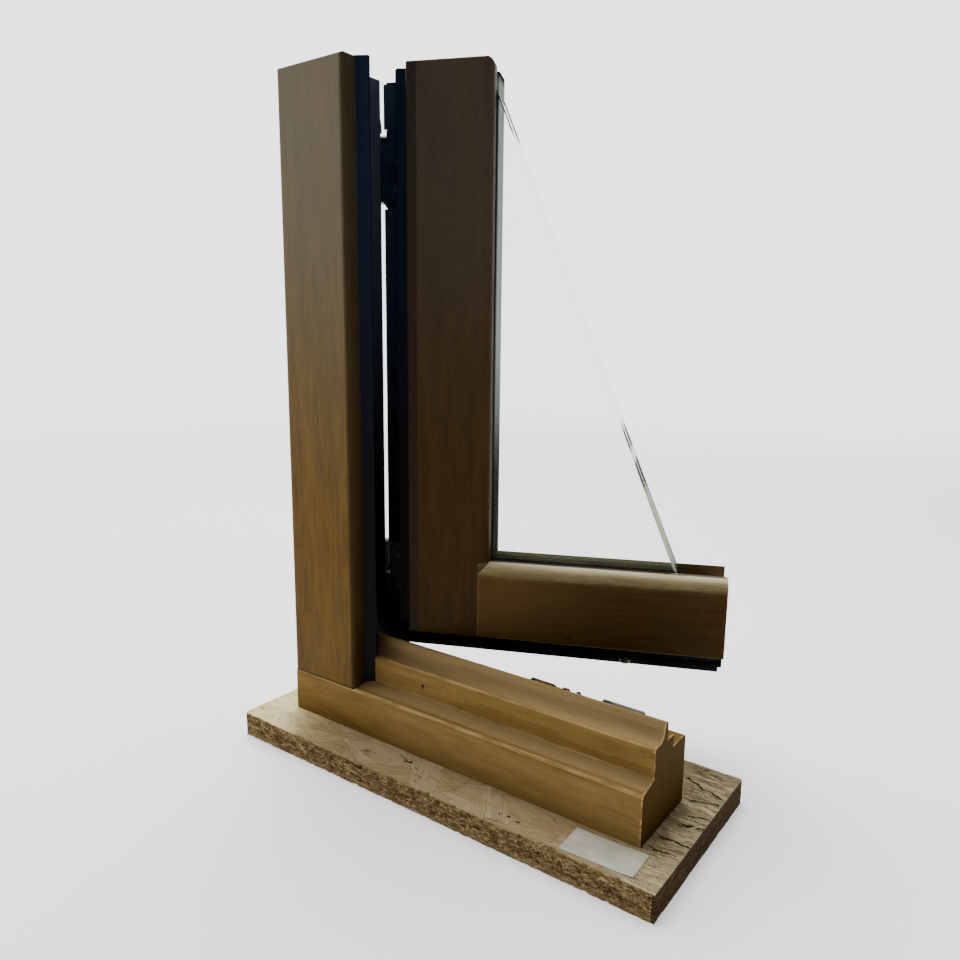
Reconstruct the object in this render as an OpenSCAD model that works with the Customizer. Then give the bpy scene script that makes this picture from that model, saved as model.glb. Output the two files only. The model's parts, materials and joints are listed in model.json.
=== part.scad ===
// Corner sample of an inward-opening timber window, standing on a particle board.
// x runs along the sill from the hinge side, y runs from outdoors to indoors, z is up.
// The origin is the centre of the board's underside. Sizes are millimetres.

/* [Base board] */
// Length of the board along the sill
board_len = 380.5; // [340:1:460]
// Depth of the board from outdoors to indoors
board_depth = 156; // [125:1:220]
// Thickness of the board
board_t = 20; // [12:1:30]
// Board showing past the left end of the frame
board_left = 29; // [0:1:50]
// Board showing in front of the frame
board_front = 34.5; // [30:1:50]
// Bevel along the board's two left upright corners
board_bevel = 3; // [0.5:0.5:5]
// Length of the paper label
label_len = 51; // [30:1:60]
// Height of the paper label on the board
label_wid = 26; // [15:1:28]
// Thickness of the paper label
label_t = 0.3; // [0.2:0.1:0.6]
// Distance that the label reaches past the sill's cut end
label_past = 8; // [0:1:12]
// Angle of the label to the board's front edge
label_turn = 2.5; // [-4:0.5:4]

/* [Fixed frame] */
// Depth of the frame profiles from outdoors to indoors
frame_depth = 68; // [64:1:78]
// Length of the sill
sill_len = 326; // [300:1:340]
// Height of the jamb's top above the board
frame_top = 521; // [490:1:700]
// Width of the jamb's outdoor part, seen from outdoors
jamb_w = 71; // [67:0.5:80]
// Rounding of the jamb's arris beside the sash
jamb_round = 4.5; // [2:0.5:8]
// Rounding of the small arrises
arris = 1.5; // [0.5:0.5:2]
// Rounding of the arrises at the tops of the jamb and the stile
end_round = 1.5; // [0.5:0.5:3]
// Rounding of the corner at the top of the stile beside the glass
end_corner = 5; // [1:0.5:5]
// Height of the sill's nose that shows under the jamb's outdoor face
foot_reveal = 2.1; // [0.5:0.1:2.5]
// Rounding of the arris round the jamb's outdoor foot
foot_round = 1; // [0.5:0.1:1.5]

/* [Sill profile] */
// Height of the sill's rounded nose
nose_h = 36.8; // [30:0.1:38]
// Radius of the sill's nose
nose_r = 3.5; // [2:0.5:6]
// Depth of the sloping water shelf
shelf_d = 17; // [14:0.5:19]
// Height of the shelf where it meets the upstand
shelf_h = 39.8; // [39:0.1:46]
// Height of the upstand behind the shelf
upstand_h = 61.5; // [57:0.5:64]
// Radius of the hollow that rises to the ridge
hollow_r = 7; // [5:0.5:7.5]
// Lean of the ridge's outdoor side, from the hollow to its top
ridge_lean = 1.5; // [0.5:0.1:2]
// Height of the ridge
ridge_h = 73.5; // [71:0.5:82]
// Thickness of the ridge at its top
ridge_t = 3.2; // [2.5:0.1:4]
// Height of the ledge behind the ridge
ledge_h = 59.5; // [56:0.5:60]
// Height of the sill's indoor part
sill_in_h = 50.5; // [45:0.5:51]

/* [Clearances of the shut sash] */
// Angle at which the sash stands open
open_angle = 23.4; // [0:0.1:100]
// Joint line between the jamb's scribed foot and the sill
joint_gap = 0.2; // [0.1:0.1:0.4]
// Air between the frame's indoor face and the sash's overlap
lip_air = 1; // [0.5:0.1:2]
// Air between the jamb's indoor part and the sash's hardware edge
drive_air = 12; // [11:0.5:14]
// Room for the seal between the jamb's step and the sash's step
seal_room = 4.5; // [4:0.1:6]
// Air between the ridge's back and the sash's step
ridge_air = 3.8; // [3.8:0.1:5]
// Air between the ridge's top and the sash's outdoor part
foot_air = 6.3; // [4:0.1:9]
// Air between the stop gasket and the sash's outdoor face
fin_air = 1.5; // [0.3:0.1:2]
// Air between the sill's ledge and the striker plates
striker_air = 1; // [0.3:0.1:2]
// Air between a hinge knuckle and the sash's overlap
knuckle_air = 1.5; // [1:0.1:3]
// Air round the hardware that slides in the sash's groove
rod_air = 0.5; // [0.2:0.1:1]

/* [Sash] */
// Length of the bottom rail with the stile, seen from outdoors
sash_len = 252.4; // [220:0.1:252.4]
// Thickness of the sash
sash_t = 66; // [62:1:74]
// Width of the stile, seen from outdoors
stile_w = 66.4; // [60:0.1:74]
// Height of the bottom rail, seen from outdoors
rail_w = 62; // [56:0.1:70]
// Depth of the sash's outdoor part
outer_d = 18.5; // [17:0.5:20]
// Depth of the sash in front of its overlap
lip_y = 48; // [47.5:0.5:49]
// Step of the sash from its outdoor edge to its hardware edge
rebate_step = 14; // [13.5:0.1:15]
// Width of the sash's overlap over the frame
lip_step = 18; // [16:0.5:18]
// Extra height of the bottom rail's overlap above its usual place
lip_lift = 1.7; // [0:0.1:3]
// Rounding of the sash's arrises beside the glass
sight_round = 8; // [4:0.5:10]
// Rounding of the overlap's arris
lip_round = 3; // [1:0.5:5]
// Radius of the drip groove under the rail's outdoor part
drip_r = 2.5; // [1.5:0.5:3]
// Distance of the drip groove from the sash's outdoor face
drip_y = 6; // [5:0.5:8]

/* [Glazing] */
// Thickness of the wood in front of the glass
stop_t = 14; // [12:0.5:15]
// Depth of the rebate that hides the glass edge
cover = 18; // [17:0.5:20]
// Thickness of each pane
pane_t = 4; // [3:0.5:6]
// Width of the space between the panes
cavity = 20; // [12:1:20]
// Air between the pane edge and the rebate
pane_air = 3; // [2:0.5:4]
// Height of the spacer bar across the unit's edge
spacer_w = 10.4; // [8:0.1:12]
// Wall of the hollow spacer bar
spacer_wall = 0.8; // [0.4:0.1:1.5]
// Depth of the sealant outside the spacer
sealant_w = 5.5; // [4:0.5:7]
// Rise of the unit's sloping edge for each unit of length
glass_slope = 2.42; // [2.2:0.01:3]
// Bottom rail left bare past the sloping edge's lower end
glass_short = 37.5; // [30:0.5:70]
// Wood left free above the unit at the stile's top
glass_drop = 6; // [2:1:20]
// Distance that the glazing beads stand back from the sash's indoor face
bead_set = 4; // [0:0.5:6]
// Distance that the bead stands back from the stile's sight edge
bead_back = 2.4; // [0:0.1:4]
// Height of the rail's bead above the rail's outdoor sight edge
bead_over = 0.5; // [0:0.1:3]
// Share of a bead's height that its slope leaves at the indoor side
bead_rest = 0.68; // [0.5:0.01:1]
// Length of each glazing packer
packer_len = 40; // [25:1:60]
// Distance of a packer from the end of the unit's lower edge
packer_in = 20; // [10:1:30]
// Distance that a packer stands back from the unit's two faces
packer_back = 1; // [0:0.5:2]

/* [Gaskets] */
// Projection of the frame's stop gasket from the jamb
fin_out = 8; // [5:0.5:9]
// Depth of the stop gasket at the jamb
fin_w = 7.2; // [6:0.1:8]
// Depth of the stop gasket at its tip
fin_tip = 2; // [1.5:0.1:3]
// Depth of the stop gasket's foot in the jamb
fin_foot = 7; // [3.5:0.5:8]
// Wall of the stop gasket round its chamber
fin_wall = 1.2; // [0.8:0.1:1.4]
// Thickness of the gasket on the sash's step
seal_t = 2; // [1.5:0.1:2]
// Width of the gasket on the sash's step
seal_w = 11; // [8:0.5:11.5]
// Distance of that gasket from the outdoor part's edge
seal_in = 1; // [0.5:0.5:1.5]
// Projection of that gasket's lip towards the frame
seal_lip = 1.3; // [0.5:0.1:1.4]
// Thickness of that gasket's lip at its root
seal_root = 3; // [2:0.5:4]

/* [Hardware] */
// Width of the hardware's face plate
face_w = 16; // [14:1:18]
// Thickness of the hardware's face plate
face_t = 3; // [2:0.5:3]
// Distance from the overlap to the middle of the hardware groove
groove_axis = 13; // [11:0.5:13]
// Width of the drive rod behind the face plate
rod_w = 11; // [9:1:12]
// Thickness of the drive rod
rod_t = 3; // [2:0.5:4]
// Height of the corner drive's leg on the stile
corner_leg = 110; // [60:5:140]
// Distance from the sash's hinge edge to the locking cam
cam_x = 177; // [170:0.5:182]
// Radius of the locking cam's head
cam_r = 4.5; // [4:0.5:5]
// Thickness of the locking cam's head
cam_head = 2.5; // [1.5:0.5:3]
// Radius of the locking cam's neck
cam_neck = 3; // [2:0.5:3.5]
// Projection of the locking cam from the face plate
cam_h = 9.5; // [8.5:0.5:10.5]
// Travel of the locking cam along its slot
cam_travel = 18; // [10:1:24]
// Distance from the sash's hinge edge to the lifting runner
runner_x = 140; // [120:1:144]
// Length of the lifting runner
runner_len = 18; // [14:1:22]
// Width of the lifting runner
runner_w = 8; // [6:0.5:10]
// Length of the ramp at each end of the lifting runner
runner_ramp = 4; // [2:0.5:6]
// Projection of the lifting runner from the face plate
runner_h = 5; // [3:0.5:6]
// Length of each striker plate
striker_len = 36; // [32:1:40]
// Width of each striker plate
striker_w = 18; // [16:1:19]
// Thickness of each striker plate
striker_t = 3; // [2:0.5:3]
// Distance from the frame's left end to the first striker's near end
striker_x = 199.5; // [190:0.5:202]
// Distance from one striker to the next
striker_pitch = 62.5; // [60:0.5:66]
// Height of each striker's claw above the sill's indoor part
claw_h = 8; // [7:0.5:8.5]
// Thickness of each striker's claw
claw_t = 3.5; // [2.5:0.5:4]
// Length of the first striker's claw
claw_near = 24; // [16:1:32]
// Length of the second striker's claw
claw_far = 36; // [16:1:40]
// Ramp at each end of a claw
claw_ramp = 2; // [0.5:0.5:4]

/* [Hinges] */
// Distance of the hinge axis from the frame's indoor face
axis_out = 16.7; // [16.7:0.1:19]
// Radius of the hinge knuckles
knuckle_r = 6; // [5.5:0.1:6]
// Radius of the hinge pins
pin_r = 3; // [2:0.5:3.5]
// Running clearance round the pins
pin_air = 0.06; // [0.02:0.01:0.1]
// Gap between two knuckles
knuckle_gap = 0.3; // [0.2:0.1:0.5]
// Depth and width of the turned grooves round the knuckles
ring = 0.8; // [0.4:0.1:1]
// Thickness of the hinge leaves
leaf_t = 3; // [2.5:0.1:3.4]
// Depth that the leaves are let into the sash's overlap
leaf_sink = 0.4; // [0.2:0.1:1]
// Clearance round a leaf in its pocket
pocket_air = 0.2; // [0.1:0.1:0.4]
// Depth of the leaf's return on the sash's hardware edge
leaf_return = 5; // [3:0.5:6]
// Thickness of the webs that carry the sash's knuckles
web_t = 7; // [5:0.5:8]
// Width of the webs that carry the frame's knuckles
fixed_web = 11; // [8:0.5:14]
// Width of the hinge plates on the frame
plate_w = 18; // [14:1:20]
// Rounding of the hinge plates' corners
plate_round = 3; // [1:0.5:5]
// Distance from the frame's top down to the upper hinge's underside
upper_below = 90; // [80:1:140]
// Height of the upper hinge
upper_h = 54; // [50:1:60]
// Height of the upper hinge's fixed knuckle
upper_fixed = 17; // [14:1:20]
// Height of the upper pin's domed head
head_h = 9; // [6:0.5:12]
// Length of the upper frame plate below the hinge
upper_tail = 23; // [10:1:40]
// Height of the cover wing above the upper hinge
wing_h = 27; // [15:1:32]
// Reach of the cover wing past the hinge axis at its foot
wing_out = 2.5; // [0:0.5:3]
// Distance that the cover wing's top leans back from its foot
wing_lean = 8; // [4:1:12]
// Air between the cover wing and the web behind it
wing_back = 1.5; // [1.5:0.5:3]
// Height of the slanted gusset below the upper sash leaf
gusset_h = 6; // [3:0.5:10]
// Height of the lower hinge's bearing above the overlap's foot
lower_rise = 15.5; // [13:0.5:20]
// Height of the lower hinge's sash leaf
lower_h = 76; // [60:1:80]
// Height of the lower hinge's lower barrel
barrel_h = 48; // [42:1:52]
// Height of the collar above the lower barrel
collar_h = 6; // [4:0.5:8]
// Height of the domed cap on the lower hinge
cap_h = 5; // [3:0.5:6]
// Height of the lower pin inside the sash's barrel
pin_up = 35; // [25:1:40]
// Height of the lower bearing's plate on the frame
bearing_h = 50; // [35:1:55]
// Height of the lower bearing's cup
cup_h = 19.5; // [10:0.5:25]

/* [Hidden] */
$fn = 64;
eps = 0.01;
// How far a cut or a root runs past the face it starts from
over = 1;
reach = 1000;

timber = [0.60, 0.42, 0.21];
timber_dark = [0.42, 0.28, 0.14];
chip = [0.76, 0.66, 0.47];
black = [0.07, 0.08, 0.10];
steel = [0.30, 0.31, 0.33];

// Where the frame's left outdoor corner stands, seen from the board's centre
frame_x0 = -board_len / 2 + board_left;
frame_y0 = -board_depth / 2 + board_front;

// Where the shut sash's outdoor left edge and outdoor face lie in the frame
sash_x0 = jamb_w;
sash_y0 = frame_depth + lip_air - lip_y;

// Steps of the sash towards the frame, across the stile and down the rail
edge_mid = -rebate_step;
edge_lip = -rebate_step - lip_step;
sash_foot = ridge_h + foot_air;
foot_mid = sash_foot - rebate_step;
foot_lip = foot_mid - lip_step + lip_lift;
rail_top = sash_foot + rail_w;

// Steps of the jamb, and the hardware groove that the strikers and the sill's ledge follow
jamb_in_w = sash_x0 + edge_mid - drive_air;
jamb_step_y = sash_y0 + outer_d - seal_room;
groove_y = lip_y - groove_axis;
groove_w = rod_w + 2 * rod_air;
groove_t = face_t + rod_t + 2 * rod_air;
striker_y = sash_y0 + groove_y - striker_w / 2;
ledge_y = striker_y - striker_air;

// The sill's ridge and hollow, from the ridge's back outwards
ridge_back = sash_y0 + outer_d - ridge_air;
ridge_y = ridge_back - ridge_t;
hollow_y = ridge_y - ridge_lean - hollow_r;

// Stop gasket
fin_end = sash_y0 - fin_air;
fin_y = fin_end - fin_w;

// Glazing rebate, insulating unit and beads
rebate_a = stile_w - cover;
rebate_z = rail_top - cover;
unit_a = rebate_a + pane_air;
unit_z = rebate_z + pane_air;
unit_t = 2 * pane_t + cavity;
pane2_y = stop_t + pane_t + cavity;
glass_top = frame_top - glass_drop;
glass_reach = sash_len - glass_short;
bead_y = stop_t + unit_t;
bead_d = sash_t - bead_y - bead_set;
bead_a = stile_w - bead_back;
bead_z = rail_top + bead_over;

// Hinge axis in the frame and in the sash, and the heights along it
axis_x = sash_x0 + edge_lip - knuckle_r - knuckle_air;
axis_y = frame_depth + axis_out;
axis_a = axis_x - sash_x0;
axis_b = axis_y - sash_y0;
plate_x1 = axis_x - knuckle_r;
leaf_y = lip_y - leaf_sink;
upper_z = frame_top - upper_below;
upper_top = upper_z + upper_h;
upper_split = upper_z + upper_fixed;
head_z = upper_top - head_h;
lower_z = foot_lip + lower_rise;
lower_top = lower_z + lower_h;

module at_frame() {
    translate([frame_x0, frame_y0, board_t]) children();
}

// Children are drawn in the sash's own frame: x from its outdoor left edge, y from its outdoor face
module at_sash() {
    at_frame() translate([axis_x, axis_y, 0]) rotate([0, 0, open_angle])
        translate([-axis_a, -axis_b, 0]) children();
}

// What a rounding takes from a square corner at the origin that fills x > 0, y > 0
module corner_cut(r) {
    difference() {
        translate([-eps, -eps]) square(r + eps);
        translate([r, r]) circle(r);
    }
}

// Runs a section drawn as (depth, height) along the sill from x0 to x1
module along_x(x0, x1) {
    translate([x0, 0, 0]) rotate([90, 0, 90]) linear_extrude(x1 - x0) children();
}

module base_board() {
    color(chip) translate([0, 0, board_t / 2]) difference() {
        cube([board_len, board_depth, board_t], center = true);
        for (side = [-1, 1])
            translate([-board_len / 2, side * board_depth / 2, 0]) rotate([0, 0, 45])
                cube([board_bevel, board_bevel, board_t + over], center = true);
    }
}

module label() {
    color("white") at_frame() translate([sill_len + label_past - label_len / 2, -board_front / 2, 0])
        rotate([0, 0, label_turn])
            translate([0, 0, label_t / 2]) cube([label_len, label_wid, label_t], center = true);
}

// The sill's section as (depth, height), with a round nose, a water shelf, a hollow and a ridge
module sill_section() {
    hollow_x = hollow_y + hollow_r;
    difference() {
        union() {
            polygon([[0, 0], [frame_depth, 0], [frame_depth, sill_in_h], [ledge_y, sill_in_h],
                [ledge_y, ledge_h], [ridge_back, ledge_h], [ridge_back, ridge_h - arris / 2],
                [ridge_back - arris / 2, ridge_h], [ridge_y + arris / 2, ridge_h],
                [ridge_y, ridge_h - arris / 2],
                [hollow_x, upstand_h + hollow_r], [hollow_x, upstand_h], [shelf_d + arris, upstand_h],
                [shelf_d, upstand_h - arris], [shelf_d, shelf_h], [nose_r, nose_h], [0, nose_h - nose_r]]);
            translate([nose_r, nose_h - nose_r]) circle(nose_r);
        }
        translate([frame_depth, sill_in_h]) rotate(180) corner_cut(arris);
    }
    difference() {
        translate([hollow_y, upstand_h - eps]) square(hollow_r);
        translate([hollow_y, upstand_h + hollow_r]) circle(hollow_r);
    }
}

module frame_sill() {
    color(timber) at_frame() along_x(0, sill_len) sill_section();
}

// The jamb's section as (x, depth): a wide outdoor part, a seat for the stop gasket and a narrow indoor part
module jamb_section() {
    seat_x = jamb_w - fin_foot;
    difference() {
        polygon([[0, 0], [jamb_w, 0], [jamb_w, fin_y], [seat_x, fin_y], [seat_x, jamb_step_y],
            [jamb_in_w, jamb_step_y], [jamb_in_w, frame_depth], [0, frame_depth]]);
        corner_cut(arris);
        translate([jamb_w, 0]) rotate(90) corner_cut(jamb_round);
        translate([jamb_in_w, frame_depth]) rotate(180) corner_cut(lip_round);
        translate([0, frame_depth]) rotate(270) corner_cut(arris);
    }
}

// What easing takes off the top of an upright of width w: the outdoor arris, the left arris over the
// depth left_d and the right corner with the radius right_r over the depth right_d
module eased_top(w, left_d, right_d, right_r) {
    along_x(-over, w + over) translate([0, frame_top]) rotate(270) corner_cut(end_round);
    translate([0, left_d + over, 0]) rotate([90, 0, 0]) linear_extrude(left_d + 2 * over)
        translate([0, frame_top]) rotate(270) corner_cut(end_round);
    translate([0, right_d + over, 0]) rotate([90, 0, 0]) linear_extrude(right_d + 2 * over)
        translate([w, frame_top]) rotate(180) corner_cut(right_r);
}

// Everything below the jamb's scribed foot: the sill's section, moved out by the joint line, and
// what the easing of the foot's outdoor arris takes off
module scribe(w) {
    foot_z = nose_h - nose_r + foot_reveal;
    translate([0, 0, foot_z]) along_x(-over, w) corner_cut(foot_round);
    for (shift = [-joint_gap, 0, joint_gap])
        translate([0, shift, joint_gap]) along_x(-over, w) sill_section();
    translate([-over, -over, -over])
        cube([w + over, frame_depth + 2 * over, foot_z + over]);
}

module frame_jamb() {
    color(timber) at_frame() difference() {
        linear_extrude(frame_top) jamb_section();
        scribe(jamb_w + over);
        eased_top(jamb_w, frame_depth, fin_y, end_round);
    }
}

// The stop gasket's section as (x, depth): a foot in the jamb's seat, a slanted face and a hollow chamber
module fin_section() {
    foot_x = jamb_w - fin_foot;
    slant = (fin_w - fin_tip) / fin_out;
    wall_y = fin_wall * sqrt(1 + slant * slant);
    back_y = fin_end - fin_wall;
    difference() {
        polygon([[foot_x, fin_y], [jamb_w, fin_y], [jamb_w + fin_out, fin_end - fin_tip],
            [jamb_w + fin_out, fin_end], [foot_x, fin_end]]);
        intersection() {
            polygon([[foot_x, fin_y + fin_wall], [jamb_w + (fin_wall - wall_y) / slant, fin_y + fin_wall],
                [jamb_w + (back_y - fin_y - wall_y) / slant, back_y], [foot_x, back_y]]);
            translate([foot_x + fin_wall, fin_y]) square([fin_foot + fin_out - 2 * fin_wall, fin_w]);
        }
    }
}

module frame_gasket() {
    color(black) at_frame() difference() {
        linear_extrude(frame_top) fin_section();
        scribe(jamb_w + fin_out + over);
    }
}

// A plate on the sill with a ramped claw of the given length along its indoor edge
module striker(x, claw_len) {
    color(steel) at_frame() translate([x, striker_y, sill_in_h]) {
        cube([striker_len, striker_w, striker_t]);
        translate([0, striker_w, 0]) rotate([90, 0, 0]) linear_extrude(claw_t)
            polygon([[0, 0], [claw_len, 0], [claw_len, claw_h - claw_ramp], [claw_len - claw_ramp, claw_h],
                [claw_ramp, claw_h], [0, claw_h - claw_ramp]]);
    }
}

module striker_near() { striker(striker_x, claw_near); }
module striker_far() { striker(striker_x + striker_pitch, claw_far); }

// A round post with a domed top, turned about z
module domed(r, h) {
    crown = min(r, h) / 2;
    ball = (r * r + crown * crown) / (2 * crown);
    rotate_extrude() {
        square([r, h - crown]);
        intersection() {
            translate([0, h - crown - eps]) square([r, crown + eps]);
            translate([0, h - ball]) circle(ball);
        }
    }
}

// A turned groove round a knuckle on the axis, with its lower edge at height z
module ring_groove(z) {
    translate([0, 0, z]) rotate_extrude() translate([knuckle_r - ring, 0]) square([ring + over, ring]);
}

// A round-cornered plate on the frame's indoor face, from z0 to z1
module fixed_plate(z0, z1) {
    h = z1 - z0;
    translate([plate_x1 - plate_w, frame_depth + leaf_t, z0]) rotate([90, 0, 0]) linear_extrude(leaf_t)
        difference() {
            square([plate_w, h]);
            corner_cut(plate_round);
            translate([plate_w, 0]) rotate(90) corner_cut(plate_round);
            translate([plate_w, h]) rotate(180) corner_cut(plate_round);
            translate([0, h]) rotate(270) corner_cut(plate_round);
        }
}

// A fixed knuckle from z0 to z1 with the web that carries it from the frame's indoor face
module fixed_knuckle(z0, z1) {
    translate([axis_x, axis_y, z0]) cylinder(r = knuckle_r, h = z1 - z0);
    translate([axis_x - fixed_web, frame_depth, z0]) cube([fixed_web, axis_out, z1 - z0]);
}

// The wing that covers the hinge's top, in front of the axis: its free edge is an arc that leans back
module cover_wing() {
    foot = fixed_web + wing_out;
    arc = (wing_h * wing_h + wing_lean * wing_lean) / (2 * wing_lean);
    depth = axis_out - web_t / 2 - wing_back;
    translate([axis_x - fixed_web, frame_depth + depth, upper_top + knuckle_gap]) rotate([90, 0, 0])
        linear_extrude(depth) intersection() {
            square([foot, wing_h]);
            translate([foot - arc, 0]) circle(arc);
        }
}

module hinge_plate_upper() {
    color(steel) at_frame() {
        difference() {
            union() {
                fixed_plate(upper_z - upper_tail, upper_top + wing_h);
                fixed_knuckle(upper_z, upper_split - knuckle_gap);
            }
            translate([axis_x, axis_y, upper_z - over]) cylinder(r = pin_r + pin_air, h = upper_fixed + over);
        }
        cover_wing();
    }
}

module hinge_pin_upper() {
    color(steel) at_frame() translate([axis_x, axis_y, 0]) {
        translate([0, 0, upper_z]) cylinder(r = pin_r, h = head_z - upper_z);
        translate([0, 0, head_z]) domed(knuckle_r, head_h);
    }
}

// The bearing's plate and cup, with the pin that the sash's barrel stands over
module hinge_bearing_lower() {
    cup_top = lower_z - knuckle_gap;
    color(steel) at_frame() {
        fixed_plate(cup_top - bearing_h, cup_top);
        difference() {
            fixed_knuckle(cup_top - cup_h, cup_top);
            translate([axis_x, axis_y, 0]) ring_groove(cup_top - cup_h / 2);
        }
        translate([axis_x, axis_y, cup_top - cup_h / 2]) cylinder(r = pin_r, h = cup_h / 2 + pin_up);
    }
}

// The pocket for a sash leaf, cut into the overlap's outdoor side and its return
module leaf_pocket(z0, z1) {
    translate([edge_lip - over, leaf_y - pocket_air, z0 - pocket_air])
        cube([lip_step + over + pocket_air, leaf_t + 2 * pocket_air, z1 - z0 + 2 * pocket_air]);
}

// Everything of the sash outside the section of its outdoor part, rebate and overlap at the foot
module foot_mask(len) {
    along_x(edge_lip - over, len) polygon([[0, sash_foot], [outer_d, sash_foot], [outer_d, foot_mid],
        [lip_y, foot_mid], [lip_y, foot_lip], [sash_t, foot_lip], [sash_t, reach], [0, reach]]);
}

// The stile's section as (distance from the hinge edge, depth)
module stile_section() {
    difference() {
        polygon([[0, 0], [stile_w, 0], [stile_w, stop_t], [rebate_a, stop_t], [rebate_a, sash_t],
            [edge_lip, sash_t], [edge_lip, lip_y], [edge_mid, lip_y], [edge_mid, outer_d], [0, outer_d]]);
        corner_cut(arris);
        translate([stile_w, 0]) rotate(90) corner_cut(sight_round);
        translate([edge_lip, sash_t]) rotate(270) corner_cut(lip_round);
        translate([edge_lip, lip_y]) corner_cut(arris);
        translate([edge_mid, groove_y - face_w / 2]) square([face_t, face_w]);
        translate([edge_mid, groove_y - groove_w / 2]) square([groove_t, groove_w]);
    }
}

// The rail's section as (depth, height)
module rail_section() {
    difference() {
        polygon([[0, sash_foot], [outer_d, sash_foot], [outer_d, foot_mid], [lip_y, foot_mid],
            [lip_y, foot_lip], [sash_t, foot_lip], [sash_t, rebate_z], [stop_t, rebate_z],
            [stop_t, rail_top], [0, rail_top]]);
        translate([0, sash_foot]) corner_cut(arris);
        translate([0, rail_top]) rotate(270) corner_cut(sight_round);
        translate([sash_t, foot_lip]) rotate(90) corner_cut(lip_round);
        translate([drip_y, sash_foot]) circle(drip_r);
        translate([groove_y - face_w / 2, foot_mid]) square([face_w, face_t]);
        translate([groove_y - groove_w / 2, foot_mid]) square([groove_w, groove_t]);
    }
}

// The region of the rail seen from outdoors: butt against the stile, mitred across the rounding
module rail_region() {
    joint_a = stile_w - sight_round;
    rotate([90, 0, 0]) translate([0, 0, -stop_t]) linear_extrude(stop_t + over) polygon([[joint_a, 0],
        [reach, 0], [reach, rail_top + over], [stile_w + over, rail_top + over],
        [joint_a, rail_top - sight_round]]);
    translate([rebate_a, stop_t - eps, 0]) cube([reach, sash_t, reach]);
}

module sash_stile() {
    color(timber_dark) at_sash() difference() {
        intersection() {
            linear_extrude(frame_top) stile_section();
            foot_mask(stile_w);
        }
        difference() {
            rail_region();
            translate([0, stop_t, 0]) cube([rebate_a, sash_t, reach]);
        }
        leaf_pocket(upper_z, upper_top);
        leaf_pocket(lower_z, lower_top);
        eased_top(stile_w, outer_d, stop_t, end_corner);
        along_x(-over, stile_w) translate([drip_y, sash_foot]) circle(drip_r);
        translate([edge_mid - over, groove_y - face_w / 2, foot_mid]) cube([stile_w, face_w, face_t]);
        translate([edge_mid - over, groove_y - groove_w / 2, foot_mid]) cube([stile_w, groove_w, groove_t]);
    }
}

module sash_rail() {
    color(timber_dark) at_sash() intersection() {
        along_x(0, sash_len) rail_section();
        rail_region();
    }
}

// Distance from the hinge edge to the unit's sloping edge at height z
function slope_a(z) = glass_reach - (z - bead_z) / glass_slope;

// The unit's outline as (distance from the hinge edge, height), moved in by a margin at its square edges
module unit_outline(margin) {
    z0 = unit_z + margin;
    a0 = unit_a + margin;
    top = min(glass_top, bead_z + (glass_reach - a0) * glass_slope);
    polygon([[a0, z0], [slope_a(z0), z0], [slope_a(top), top], [a0, top]]);
}

// A band along the unit's two square edges: its foot ends at the slope, its leg stands to the unit's top
module unit_edge(margin, width) {
    translate([unit_a + margin, unit_z + margin]) square([width, glass_top - unit_z - margin]);
    intersection() {
        unit_outline(margin);
        translate([unit_a + margin, unit_z + margin]) square([glass_reach, width]);
    }
}

// Stands a (distance, height) outline up at depth y0 with thickness t
module upright(y0, t) {
    translate([0, y0 + t, 0]) rotate([90, 0, 0]) linear_extrude(t) children();
}

module pane_outer() {
    color([0.75, 0.85, 0.82, 0.35]) at_sash() upright(stop_t, pane_t) unit_outline(0);
}

module pane_inner() {
    color([0.75, 0.85, 0.82, 0.35]) at_sash() upright(pane2_y, pane_t) unit_outline(0);
}

// The hollow bar between the panes, open at its two ends
module spacer_bar() {
    color("silver") at_sash() difference() {
        upright(stop_t + pane_t, cavity) unit_edge(sealant_w, spacer_w);
        upright(stop_t + pane_t + spacer_wall, cavity - 2 * spacer_wall)
            unit_edge(sealant_w + spacer_wall, spacer_w - 2 * spacer_wall);
    }
}

module unit_sealant() {
    color(black) at_sash() upright(stop_t + pane_t, cavity) unit_edge(0, sealant_w);
}

module packer(a) {
    color(black) at_sash() translate([a, stop_t + packer_back, rebate_z])
        cube([packer_len, unit_t - 2 * packer_back, pane_air]);
}

module packer_near() { packer(unit_a + packer_in); }
module packer_far() { packer(slope_a(unit_z) - packer_in - packer_len); }

// A bead's section from its rebate corner as (depth, height), with a top that slopes down to the indoor side
module bead_section(w) {
    polygon([[0, 0], [bead_d, 0], [bead_d, w * bead_rest], [0, w]]);
}

// The stile bead's side of the mitre between the two beads
module bead_miter() {
    polygon([[rebate_a, rebate_z], [bead_a, bead_z], [bead_a, reach], [rebate_a, reach]]);
}

module bead_stile() {
    color(timber_dark) at_sash() intersection() {
        translate([rebate_a, bead_y, 0]) mirror([1, -1, 0]) linear_extrude(frame_top)
            bead_section(bead_a - rebate_a);
        upright(bead_y - over, bead_d + 2 * over) bead_miter();
    }
}

module bead_rail() {
    color(timber_dark) at_sash() difference() {
        translate([0, bead_y, rebate_z]) along_x(rebate_a, sash_len) bead_section(bead_z - rebate_z);
        upright(bead_y - over, bead_d + 2 * over) bead_miter();
    }
}

// The step seal's section as (distance along the step, depth), with a slanted lip at its free edge
module seal_section() {
    polygon([[0, 0], [seal_w, 0], [seal_w, -seal_t], [seal_root, -seal_t], [0, -seal_t - seal_lip]]);
}

module sash_gasket_stile() {
    color(black) at_sash() translate([-seal_in - seal_w, outer_d, sash_foot - seal_in])
        linear_extrude(frame_top - sash_foot + seal_in) seal_section();
}

module sash_gasket_rail() {
    color(black) at_sash() translate([-seal_in - seal_w, outer_d, sash_foot - seal_in - seal_w])
        along_x(0, sash_len + seal_in + seal_w) mirror([1, -1]) seal_section();
}

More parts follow.
